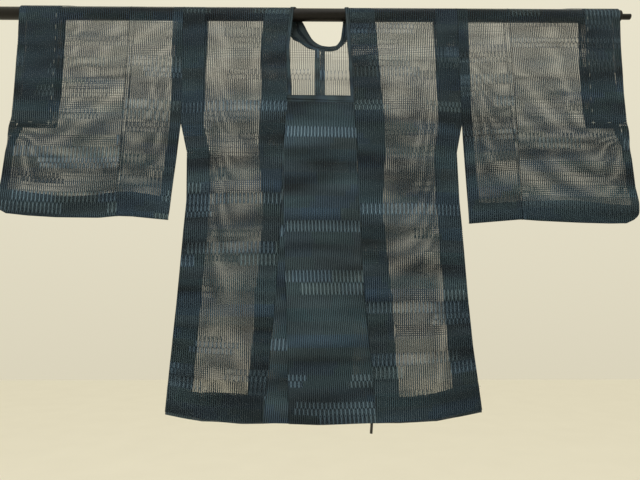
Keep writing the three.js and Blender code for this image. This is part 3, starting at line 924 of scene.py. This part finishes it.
def mottled_material(name, dark, light, grain, roughness):
    """Two close tones mixed by fine grain in the object's own place, with the roughness drifting along."""
    material, tree, shader = blank_material(name)
    place = tree.nodes.new("ShaderNodeTexCoord")
    noise = soft_noise(tree, place.outputs["Object"], grain, 3)
    noise.socket.node.noise_dimensions = "3D"
    parted = noise.math("MULTIPLY_ADD", MOTTLE_CONTRAST, (1 - MOTTLE_CONTRAST) / 2, limited=True)
    tree.links.new(mix_colours(tree, parted, dark, light), shader.inputs["Base Color"])
    drifting = noise.times_plus(ROUGHNESS_DRIFT, roughness - ROUGHNESS_DRIFT / 2)
    tree.links.new(drifting.socket, shader.inputs["Roughness"])
    shader.inputs["Specular IOR Level"].default_value = 0.18
    return material


def braid_material(name, dark, light, strands, lay):
    """Strands that cross round a cord in two slanting families, with painted shade darkening the valleys
    between them.
    """
    material, tree, shader = blank_material(name)
    _, round_it, along = weave_map(tree)
    round_it = round_it * (strands / (2 * math.pi * TIE_RADIUS * MM))
    along = along * (1 / (lay * MM))
    rising = ((round_it + along).part() - 0.5).size()
    falling = ((round_it - along).part() - 0.5).size()
    # Painted shade: the valleys between the strands are darkened in the colour, since the cord has no relief
    # of its own
    crown_vs_valley_shade = rising.above(falling).math("MULTIPLY_ADD", -BRAID_SHADE_CONTRAST, BRAID_SHADE_CONTRAST / 2, limited=True)
    tree.links.new(mix_colours(tree, crown_vs_valley_shade, dark, light), shader.inputs["Base Color"])
    shader.inputs["Roughness"].default_value = 0.85
    return material


def make_camera():
    data = bpy.data.cameras.new("front view")
    data.lens = CAMERA_LENS
    data.sensor_width = CAMERA_SENSOR
    camera = place_object("front view", data)
    camera.location = CAMERA_PLACE
    camera.rotation_euler = (math.radians(90 + CAMERA_TILT), 0, math.radians(CAMERA_TURN))
    bpy.context.scene.camera = camera


def smooth_line(points, between):
    """Catmull-Rom curve through points, with so many steps between each two."""
    points = np.asarray(points, float)
    padded = np.vstack([2 * points[0] - points[1], points, 2 * points[-1] - points[-2]])
    line = []
    for index in range(len(points) - 1):
        before, start, end, after = padded[index : index + 4]
        for step in range(between):
            t = step / between
            line.append(
                0.5 * (2 * start + (end - before) * t + (2 * before - 5 * start + 4 * end - after) * t**2
                       + (3 * start - before - 3 * end + after) * t**3)
            )
    line.append(points[-1])
    return np.array(line)


def ring_mesh(name, rings, along_scale):
    """A closed tube through rings of points, its ends filled, with a map along and round it."""
    count, sides = rings.shape[:2]
    index = np.arange(count * sides).reshape(count, sides)
    nxt = np.roll(index, -1, 1)
    faces = np.stack([index[:-1], nxt[:-1], nxt[1:], index[1:]], -1).reshape(-1, 4).tolist()
    faces.append(index[0][::-1].tolist())
    faces.append(index[-1].tolist())
    mesh = bpy.data.meshes.new(name)
    mesh.from_pydata((rings.reshape(-1, 3) * MM).tolist(), [], faces)
    middle = rings.mean(1)
    travelled = np.concatenate([[0], np.cumsum(np.linalg.norm(np.diff(middle, axis=0), axis=1))])
    uv = mesh.uv_layers.new(name="weave")
    for polygon in mesh.polygons:
        corners = [mesh.loops[loop].vertex_index for loop in polygon.loop_indices]
        wraps = max(c % sides for c in corners) - min(c % sides for c in corners) > 1
        for loop, corner in zip(polygon.loop_indices, corners):
            turn = corner % sides
            turn = turn + sides if wraps and turn == 0 and len(corners) == 4 else turn
            uv.data[loop].uv = (turn / sides * along_scale * MM, travelled[corner // sides] * MM)
    mesh.shade_smooth()
    return place_object(name, mesh)


def make_tie(braid):
    """Round cord sewn inside to the edge of the right front panel."""
    route = np.array([(x, -float(body_depth(x, z, "front")) + TIE_BEHIND, z) for x, z in TIE_ROUTE])
    line = smooth_line(route, TIE_STEPS_BETWEEN)
    along = np.gradient(line, axis=0)
    along /= np.linalg.norm(along, axis=1)[:, None]
    sideways = np.cross(along, (0, 1, 0))
    sideways /= np.linalg.norm(sideways, axis=1)[:, None]
    outwards = np.cross(sideways, along)
    angles = np.arange(TIE_SIDES) * 2 * math.pi / TIE_SIDES
    rings = (
        line[:, None]
        + TIE_RADIUS * np.cos(angles)[None, :, None] * sideways[:, None]
        + TIE_RADIUS * np.sin(angles)[None, :, None] * outwards[:, None]
    )
    cord = ring_mesh("tie_cord_braid", rings, 2 * math.pi * TIE_RADIUS)
    finish_piece(cord, braid, "tie", "tie_cord")


def make_bodies(cloth):
    for side in (1, -1):
        name = side_name(side)
        width = float(SIDE_EDGE[name].mean())

        def edges(z, theta):
            turn = ease(theta / math.pi)
            beyond = z - 2 * BAND_COVER
            at_back = lookup(BACK_EDGE, beyond, name) + SEAM_GAP / 2
            at_back = np.where(beyond > BACK_NECK_LOWEST, at_back - BAND_COVER, at_back)
            start = blend(front_start(side, z), at_back, turn)
            end = lookup(SIDE_EDGE, z, name) - SEAM_GAP / 2 - TURN_RADIUS
            allowance = blend(lookup(FRONT_EDGE, z, "allowance_" + name), BACK_ALLOWANCE, turn)
            return start + TURN_RADIUS, end, allowance, np.full(z.shape, SIDE_ALLOWANCE)

        def turn_up(x):
            return wavy(HEM_TURN, HEM_TURN_WAVE, x)

        rows = rows_over_rod(HEM_LEVEL, HEM_TURN)
        columns = columns_across(width, float(FRONT_EDGE["allowance_" + name].mean()), SIDE_ALLOWANCE)
        grid = strip_of_cloth(side, rows, columns, edges, body_place, turn_up)
        piece = cloth_object(f"body_{name}_cloth", *grid, flip=side < 0, shift=WEAVE_START["body"][name])
        finish_piece(piece, cloth, "gauze", f"body_{name}")
        rows["along"][-1] * MM


def make_sleeves(cloth):
    for side in (1, -1):
        name = side_name(side)
        rows = rows_over_rod(SLEEVE_LEVEL, SLEEVE_TURN[name])
        length = rows["along"][-1] * MM

        def inner_edges(z, theta):
            start = lookup(SLEEVE_EDGE, z, "inner_" + name) + SEAM_GAP / 2 + TURN_RADIUS
            end = lookup(SLEEVE_EDGE, z, "seam") - SEAM_GAP / 2 - TURN_RADIUS
            return start, end, np.full(z.shape, ARMHOLE_ALLOWANCE), np.full(z.shape, SLEEVE_SEAM_ALLOWANCE)

        def outer_edges(z, theta):
            start = lookup(SLEEVE_EDGE, z, "seam") + SEAM_GAP / 2 + TURN_RADIUS
            end = lookup(SLEEVE_EDGE, z, "cuff_" + name) - TURN_RADIUS
            return start, end, np.full(z.shape, SLEEVE_SEAM_ALLOWANCE), np.full(z.shape, CUFF_ALLOWANCE)

        def turn_up(x):
            return wavy(SLEEVE_TURN[name], SLEEVE_TURN_WAVE, x, side)

        widths = (
            ("inner", inner_edges, ARMHOLE_ALLOWANCE, SLEEVE_SEAM_ALLOWANCE),
            ("outer", outer_edges, SLEEVE_SEAM_ALLOWANCE, CUFF_ALLOWANCE),
        )
        for part, edges, first, last in widths:
            node = f"sleeve_{part}_{name}"
            columns = columns_across(SLEEVE_WIDTH[part], first, last)
            grid = strip_of_cloth(side, rows, columns, edges, sleeve_place, turn_up)
            start = WEAVE_START["sleeve_" + part][name]
            piece = cloth_object(node + "_cloth", *grid, flip=side < 0, shift=start)
            finish_piece(piece, cloth, "gauze", node)


def make_cuff_facings(cloth):
    for side in (1, -1):
        name = side_name(side)

        def edges(z, theta):
            end = lookup(SLEEVE_EDGE, z, "cuff_" + name) - TURN_RADIUS
            allowance = np.full(z.shape, FACING_ALLOWANCE)
            return end - FACING_WIDTH[name], end - TURN_RADIUS, allowance, allowance

        rows = rows_over_rod(FACING_FOOT[name], 0)
        columns = columns_across(FACING_WIDTH[name], FACING_ALLOWANCE, FACING_ALLOWANCE)
        columns["turned"] = columns["turned"] * FACING_TURNED_OUT
        points, weave, bunch, selvedge = strip_of_cloth(
            side, rows, columns, edges, sleeve_place, layer=FACING_LAYER
        )
        grid = (points, weave, bunch + FACING_BUNCH, selvedge)
        start = WEAVE_START["cuff_facing"][name]
        piece = cloth_object(f"cuff_facing_{name}_cloth", *grid, flip=side < 0, shift=start)
        finish_piece(piece, cloth, "doubled_gauze", f"cuff_facing_{name}")
        rows["along"][-1] * MM


def panel_rows():
    """Rows of a front panel from the turned-up hem to the neck band, as rows_over_rod gives them."""
    top = BAND_BOTTOM - SEAM_GAP + BAND_COVER
    rows = [(HEM_LEVEL, 1, lift) for lift in even_steps(1, 0, GRID_STEP / HEM_TURN)[:-1]]
    for angle in reversed(TURN_ANGLES):
        rows.append((HEM_LEVEL - TURN_RADIUS * math.sin(angle), (1 - math.cos(angle)) / 2, 0))
    rows.extend((z, 0, 0) for z in even_steps(HEM_LEVEL, top, GRID_STEP))
    z, tucked, lift = np.array(rows).T
    along = np.concatenate([[0], np.cumsum(np.abs(np.diff(z + lift * HEM_TURN)))])
    return {"z": z, "tucked": tucked, "lift": lift, "along": along}


def make_front_panels(cloth):
    """Doubled panels: out to the free edge, back behind it to the seam, and on behind the body's front."""
    for side in (1, -1):
        name = side_name(side)
        rows = panel_rows()
        z = rows["z"][:, None]
        seam = lookup(FRONT_EDGE, z, "seam_" + name) - SEAM_GAP / 2
        free = -lookup(FRONT_EDGE, z, "free") + TURN_RADIUS
        flange = lookup(FRONT_EDGE, z, "allowance_" + name) - PANEL_FLANGE_SHORT
        half_wall = PANEL_WALL / 2 - PANEL_OUTER_LAYER
        parts = [(share, 0, -1, 0, 0) for share in even_steps(0, 1, GRID_STEP / PANEL_WIDTH)]
        parts += [(1, 0, -math.cos(angle), math.sin(angle), 0) for angle in TURN_ANGLES]
        parts += [(1 - share, 0, 1, 0, 0) for share in even_steps(0, 1, GRID_STEP / PANEL_WIDTH)]
        parts += [(0, away, 1, 0, float(away == 1)) for away in PANEL_FLANGE_COLUMNS]
        share, away, layer, bulge, selvedge = np.array(parts).T
        reach = blend(seam, free, share) - TURN_RADIUS * bulge + flange * away
        x = side * reach
        level = z + rows["lift"][:, None] * wavy(HEM_TURN, PANEL_TURN_WAVE, x)
        depth = panel_depth(side, x, level)
        tucked = 1 - PANEL_TUCK * rows["tucked"][:, None]
        inset = PANEL_WALL / 2 + half_wall * layer * tucked
        behind = np.where(layer > 0, ease(1 - (seam - reach) / PANEL_FLANGE_RUN), 0)
        deep = PANEL_PROUD + FLANGE_LAYER
        inset = blend(inset, np.maximum(inset, deep), behind)
        points = np.stack([x, -(depth - inset), body_height(x, level, "front")], -1)
        seam_weave = PANEL_WEAVE["seam"]
        across = blend(seam_weave, PANEL_WEAVE["free"], share) + PANEL_WEAVE["flange"] * away
        travelled = np.cumsum(np.abs(np.diff(across, prepend=seam_weave)))
        weave = np.stack(np.broadcast_arrays(travelled[None, :], rows["along"][:, None]), -1)
        bunch = np.zeros(reach.shape)
        edge = np.broadcast_to(selvedge, reach.shape)
        grid = (points, weave, bunch, edge)
        start = WEAVE_START["front_panel"][name]
        piece = cloth_object(f"front_panel_{name}_cloth", *grid, flip=side > 0, shift=start)
        finish_piece(piece, cloth, "doubled_gauze", f"front_panel_{name}")


def band_sections():
    """Sections of the neck band: inner and outer edge, half depth of the outer face, angle over the fold."""

    def flat_part(side, share):
        seam_x = side * lookup(NECK_EDGE, BAND_TOP, side_name(side))
        free_x = -side * lookup(FRONT_EDGE, BAND_BOTTOM, "free")
        x = blend(seam_x, free_x, share)
        proud = BAND_WALL - PANEL_WALL if side > 0 else 0
        return (x, BAND_TOP, x, BAND_BOTTOM, panel_depth(side, x, BAND_BOTTOM) + proud, 0)

    def corner(side):
        inner_x = side * lookup(NECK_EDGE, BAND_TOP, side_name(side))
        outer_x = inner_x + side * FRONT_BAND_WIDTH
        middle = (inner_x + outer_x) / 2
        front = body_depth(middle, BAND_BOTTOM, "front") + BAND_CORNER_PROUD[side_name(side)]
        return (inner_x, BAND_TOP, outer_x, BAND_BOTTOM, front, 0)

    def upright(side, z):
        inner_x = side * lookup(NECK_EDGE, z, side_name(side))
        settle = ease((z - BAND_TOP) / BAND_TUCK[side_name(side)])
        front = body_depth(inner_x, z, "front") + blend(BAND_CORNER_PROUD["right"], BAND_PROUD, settle)
        return (inner_x, z, inner_x + side * FRONT_BAND_WIDTH, z, front, 0)

    def fold(side, angle):
        turn = ease(angle / math.pi)
        name = side_name(side)
        front_inner = side * lookup(NECK_EDGE, 0, name)
        inner_x = blend(front_inner, BACK_FOLD_INNER[name], turn)
        outer_x = blend(front_inner + side * FRONT_BAND_WIDTH, BACK_FOLD_OUTER[name], turn)
        return (inner_x, 0, outer_x, 0, HANG_DEPTH + BAND_PROUD, angle)

    def back():
        inner_x, inner_z = BACK_NECK["inner_x"], BACK_NECK["inner_z"]
        front = body_depth(inner_x, inner_z, "back") + BAND_PROUD
        angle = np.full(inner_x.shape, math.pi)
        rows = np.stack([inner_x, inner_z, BACK_NECK["outer_x"], BACK_NECK["outer_z"], front, angle], -1)
        return [fold(-1, math.pi), *rows[::-1], fold(1, math.pi)]

    heights = even_steps(*BAND_UPRIGHT, BAND_UPRIGHT_STEP)
    flat_shares = np.linspace(*BAND_FLAT_PART, BAND_FLAT_SECTIONS)
    angles = np.linspace(0, math.pi, FOLD_STEPS + 1)
    sections = [flat_part(-1, share) for share in flat_shares]
    sections.append(corner(-1))
    sections += [upright(-1, z) for z in heights]
    sections += [fold(-1, angle) for angle in angles[:-1]]
    sections += list(smooth_line(back(), BAND_BACK_STEPS))
    sections += [fold(1, angle) for angle in angles[-2::-1]]
    sections += [upright(1, z) for z in heights[::-1]]
    sections.append(corner(1))
    sections += [flat_part(1, share) for share in flat_shares[::-1]]
    return np.array([[float(value) for value in section] for section in sections])


def make_neck_band(cloth):
    """Folded band round the neck opening, lofted through flat oval sections."""
    inner_x, inner_z, outer_x, outer_z, front, theta = (column[:, None] for column in band_sections().T)
    angles = np.arange(BAND_SECTION_SIDES) * 2 * math.pi / BAND_SECTION_SIDES
    wide = np.sign(np.cos(angles)) * np.abs(np.cos(angles)) ** BAND_FLATNESS
    thick = np.sign(np.sin(angles)) * np.abs(np.sin(angles)) ** BAND_FLATNESS
    x = blend(inner_x, outer_x, (1 + wide) / 2)
    z = blend(inner_z, outer_z, (1 + wide) / 2)
    depth = front - BAND_WALL / 2 + thick * BAND_WALL / 2
    rings = np.stack([x, -depth * np.cos(theta), z + depth * np.sin(theta)], -1)
    piece = ring_mesh("neck_band_cloth", rings, BAND_WEAVE_ROUND)
    finish_piece(piece, cloth, "doubled_gauze", "neck_band")


def make_rod(finish):
    """Round rod along X with a chamfered end, and a thin spigot at its right."""
    profile = (
        (ROD_LEFT_END, ROD_RADIUS - ROD_CHAMFER),
        (ROD_LEFT_END + ROD_CHAMFER, ROD_RADIUS),
        (ROD_RIGHT_END - ROD_CHAMFER, ROD_RADIUS),
        (ROD_RIGHT_END, ROD_RADIUS - ROD_CHAMFER),
        (ROD_RIGHT_END, SPIGOT_RADIUS),
        (SPIGOT_END, SPIGOT_RADIUS),
    )
    angles = np.arange(ROD_SIDES) * 2 * math.pi / ROD_SIDES
    circle = [(math.sin(angle), math.cos(angle)) for angle in angles]
    rings = np.array([[(x, radius * y, radius * z) for y, z in circle] for x, radius in profile])
    piece = ring_mesh("rod_bar", rings[:, ::-1], 2 * math.pi * ROD_RADIUS)
    finish_piece(piece, finish, "rod", "rod")


def stitch_tree():
    """Node tree that lays short threads along lines of edges, evenly spaced and a little uneven in length."""
    tree = bpy.data.node_groups.new("stitches along lines", "GeometryNodeTree")
    tree.interface.new_socket("Lines", in_out="INPUT", socket_type="NodeSocketGeometry")
    for label in ("Spacing", "Stitch Length", "Thread Radius"):
        tree.interface.new_socket(label, in_out="INPUT", socket_type="NodeSocketFloat")
    tree.interface.new_socket("Thread", in_out="INPUT", socket_type="NodeSocketMaterial")
    tree.interface.new_socket("Stitches", in_out="OUTPUT", socket_type="NodeSocketGeometry")
    given = tree.nodes.new("NodeGroupInput")
    result = tree.nodes.new("NodeGroupOutput")
    curve = tree.nodes.new("GeometryNodeMeshToCurve")
    spaced = tree.nodes.new("GeometryNodeResampleCurve")
    spaced.mode = "LENGTH"
    tangent = tree.nodes.new("GeometryNodeInputTangent")
    turn = tree.nodes.new("FunctionNodeAlignRotationToVector")
    turn.axis = "Z"
    stitch = tree.nodes.new("GeometryNodeMeshCylinder")
    stitch.inputs["Vertices"].default_value = STITCH_SIDES
    laid = tree.nodes.new("GeometryNodeInstanceOnPoints")
    uneven = tree.nodes.new("FunctionNodeRandomValue")
    uneven.data_type = "FLOAT_VECTOR"
    uneven.inputs["Min"].default_value = (1, 1, STITCH_UNEVEN[0])
    uneven.inputs["Max"].default_value = (1, 1, STITCH_UNEVEN[1])
    uneven.inputs["Seed"].default_value = STITCH_SEED
    whole = tree.nodes.new("GeometryNodeRealizeInstances")
    dressed = tree.nodes.new("GeometryNodeSetMaterial")
    for start, end in (
        (given.outputs["Lines"], curve.inputs["Mesh"]),
        (curve.outputs["Curve"], spaced.inputs["Curve"]),
        (given.outputs["Spacing"], spaced.inputs["Length"]),
        (spaced.outputs["Curve"], laid.inputs["Points"]),
        (tangent.outputs["Tangent"], turn.inputs["Vector"]),
        (turn.outputs["Rotation"], laid.inputs["Rotation"]),
        (given.outputs["Thread Radius"], stitch.inputs["Radius"]),
        (given.outputs["Stitch Length"], stitch.inputs["Depth"]),
        (stitch.outputs["Mesh"], laid.inputs["Instance"]),
        (uneven.outputs["Value"], laid.inputs["Scale"]),
        (laid.outputs["Instances"], whole.inputs["Geometry"]),
        (whole.outputs["Geometry"], dressed.inputs["Geometry"]),
        (given.outputs["Thread"], dressed.inputs["Material"]),
        (dressed.outputs["Geometry"], result.inputs["Stitches"]),
    ):
        tree.links.new(start, end)
    return tree


def make_stitches(name, tree, lines, sizes, thread):
    """One mesh of stitches along lines of points, made by the node tree."""
    spacing, length, radius = sizes
    starts = np.cumsum([0] + [len(line) for line in lines])
    edges = [(start + i, start + i + 1) for start, line in zip(starts, lines) for i in range(len(line) - 1)]
    mesh = bpy.data.meshes.new(name + "_lines")
    mesh.from_pydata((np.vstack(lines) * MM).tolist(), edges, [])
    guide = place_object(name + "_lines", mesh)
    laid = guide.modifiers.new("stitches", "NODES")
    laid.node_group = tree
    values = {
        "Spacing": spacing * MM,
        "Stitch Length": length * MM,
        "Thread Radius": radius * MM,
        "Thread": thread,
    }
    for socket in tree.interface.items_tree:
        if socket.in_out == "INPUT" and socket.name in values:
            laid[socket.identifier] = values[socket.name]
    shown = guide.evaluated_get(bpy.context.evaluated_depsgraph_get())
    stitched = bpy.data.meshes.new_from_object(shown)
    bpy.data.objects.remove(guide)
    finish_piece(place_object(name, stitched), thread, "gauze")


def line_on(place, side, reach, z, theta):
    """Points on the cloth at a reach for each height and angle over the rod."""
    reach, z, theta = np.broadcast_arrays(reach, np.asarray(z, float), theta)
    return place(side, reach, z, theta, STITCH_INSET)[0]


def over_rod(bottom):
    """Heights and angles from a height at the front, over the rod, down to the same height at the back."""
    front = even_steps(bottom, 0, STITCH_STEP)[:-1]
    back = even_steps(0, bottom, STITCH_STEP)[1:]
    angles = np.linspace(0, math.pi, FOLD_STEPS + 1)
    z = np.concatenate([front, np.zeros(angles.size), back])
    return z, np.concatenate([np.zeros(front.size), angles, np.full(back.size, math.pi)])


def seam_lines():
    """Every seam of the coat as a line of points on its outer face."""
    down = even_steps(ARMPIT_Z, HEM_LEVEL, STITCH_STEP)
    centre = even_steps(float(BACK_NECK["outer_z"].min()), HEM_LEVEL, STITCH_STEP)
    lines = [line_on(body_place, 1, 0, centre, math.pi)]
    for side in (1, -1):
        name = side_name(side)
        front = even_steps(BAND_BOTTOM, HEM_LEVEL, STITCH_STEP)
        lines.append(line_on(body_place, side, lookup(FRONT_EDGE, front, "seam_" + name), front, 0))
        for theta in (0, math.pi):
            reach = lookup(SIDE_EDGE, down, name) - SEAM_FROM_EDGE
            lines.append(line_on(body_place, side, reach, down, theta))
        z, theta = over_rod(ARMPIT_Z)
        lines.append(line_on(body_place, side, lookup(SIDE_EDGE, z, name), z, theta))
        z, theta = over_rod(SLEEVE_LEVEL)
        lines.append(line_on(sleeve_place, side, lookup(SLEEVE_EDGE, z, "seam"), z, theta))
        cuff = even_steps(CUFF_OPENING_Z, SLEEVE_LEVEL, STITCH_STEP)
        edge = lookup(SLEEVE_EDGE, cuff, "cuff_" + name) - SEAM_FROM_EDGE
        foot = [float(SLEEVE_EDGE[edge_name + name][-1]) for edge_name in ("inner_", "cuff_")]
        across = even_steps(*foot, STITCH_STEP)
        for theta in (0, math.pi):
            lines.append(line_on(sleeve_place, side, edge, cuff, theta))
            lines.append(line_on(sleeve_place, side, across, SLEEVE_LEVEL + SEAM_FROM_EDGE, theta))
        beside = even_steps(BAND_BOTTOM, 0, STITCH_STEP)
        reach = lookup(NECK_EDGE, beside, name) + FRONT_BAND_WIDTH + SEAM_FROM_EDGE
        lines.append(line_on(body_place, side, reach, beside, 0))
    return lines


def hem_lines():
    """Lines of tacks along the turn-ups of the hem and the sleeves."""
    lines = []
    for side in (1, -1):
        name = side_name(side)
        for theta, first in ((0, float(FRONT_EDGE["seam_" + name][-1])), (math.pi, 0)):
            last = float(SIDE_EDGE[name][-1])
            across = even_steps(first + TACK_FROM_EDGE, last - TACK_FROM_EDGE, STITCH_STEP)
            lines.append(line_on(body_place, side, across, HEM_LEVEL + HEM_TURN - TACK_FROM_EDGE, theta))
            start = float(SLEEVE_EDGE["inner_" + name][-1]) + TACK_FROM_EDGE
            cuff = float(lookup(SLEEVE_EDGE, CUFF_WIDEST, "cuff_" + name))
            across = even_steps(start, cuff - CUFF_ALLOWANCE, STITCH_STEP)
            level = SLEEVE_LEVEL + SLEEVE_TURN[name] - TACK_FROM_EDGE
            lines.append(line_on(sleeve_place, side, across, level, theta))
    return lines


def facing_lines():
    """Lines of long tacks along the inner edge and the foot of each cuff facing."""
    lines = []
    for side in (1, -1):
        name = side_name(side)
        foot = FACING_FOOT[name] + TACK_FROM_EDGE
        z, theta = over_rod(foot)
        inner = lookup(SLEEVE_EDGE, z, "cuff_" + name) - FACING_WIDTH[name] + TACK_FROM_EDGE
        lines.append(line_on(sleeve_place, side, inner, z, theta))
        cuff = float(lookup(SLEEVE_EDGE, foot, "cuff_" + name))
        across = even_steps(cuff - FACING_WIDTH[name] + TACK_FROM_EDGE, cuff - TACK_FROM_EDGE, STITCH_STEP)
        for angle in (0, math.pi):
            lines.append(line_on(sleeve_place, side, across, foot, angle))
    return lines


def pale_air():
    """Pale air all round, brighter above."""
    world = bpy.data.worlds.new("pale air")
    bpy.context.scene.world = world
    world.use_nodes = True
    tree = world.node_tree
    background = tree.nodes["Background"]
    direction = tree.nodes.new("ShaderNodeTexCoord")
    split = tree.nodes.new("ShaderNodeSeparateXYZ")
    tree.links.new(direction.outputs["Generated"], split.inputs[0])
    height = Field(tree, split.outputs[2]).math("MULTIPLY_ADD", AIR_RISE, AIR_AT_LEVEL, limited=True)
    tone = mix_colours(tree, height, AIR_LOW, AIR_HIGH)
    tree.links.new(tone, background.inputs["Color"])


def make_stage():
    """Pale floor under the rod, pale air round it, and soft studio light."""
    bpy.ops.mesh.primitive_plane_add(size=FLOOR_SIZE, location=(0, 0, FLOOR_LEVEL))
    floor = bpy.context.object
    floor.name = "studio_floor"
    finish = mottled_material("pale floor", FLOOR_DARK, FLOOR_LIGHT, grain=3, roughness=0.9)
    floor.data.materials.append(finish)
    pale_air()
    for name, place, turn, size, power in SOFTBOXES:
        light = bpy.data.lights.new(name, "AREA")
        light.energy = power
        light.size = size
        lamp = place_object(name, light)
        lamp.location = place
        lamp.rotation_euler = [math.radians(angle) for angle in turn]
    scene = bpy.context.scene
    scene.view_settings.view_transform = "Standard"
    scene.cycles.max_bounces = 4
    scene.cycles.diffuse_bounces = 2
    scene.cycles.transparent_max_bounces = 40


make_camera()
make_tie(braid_material("tie braid", BRAID_VALLEY_SHADE, BRAID_LIGHT, strands=6, lay=5))
single = gauze_material("sheer gauze", closeness=0)
doubled = gauze_material("doubled gauze", closeness=0.45, figured_share=0.3)
bound = gauze_material("folded gauze band", closeness=0.9, figured_share=0, depth=0.72)
make_rod(mottled_material("satin black rod", ROD_DARK, ROD_LIGHT, grain=350, roughness=0.35))
make_bodies(single)
make_sleeves(single)
make_cuff_facings(doubled)
make_front_panels(doubled)
make_neck_band(bound)
stitches = stitch_tree()
dark_thread = mottled_material("navy thread", THREAD_DARK, THREAD_LIGHT, grain=900, roughness=0.8)
light_thread = mottled_material("pale tacking thread", TACKING_DARK, TACKING_LIGHT, grain=900, roughness=0.8)
make_stitches("seam_stitches", stitches, seam_lines(), SEAM_STITCH, dark_thread)
make_stitches("hem_tacks", stitches, hem_lines(), HEM_TACK, dark_thread)
make_stitches("facing_tacks", stitches, facing_lines(), FACING_TACK, light_thread)
make_stage()
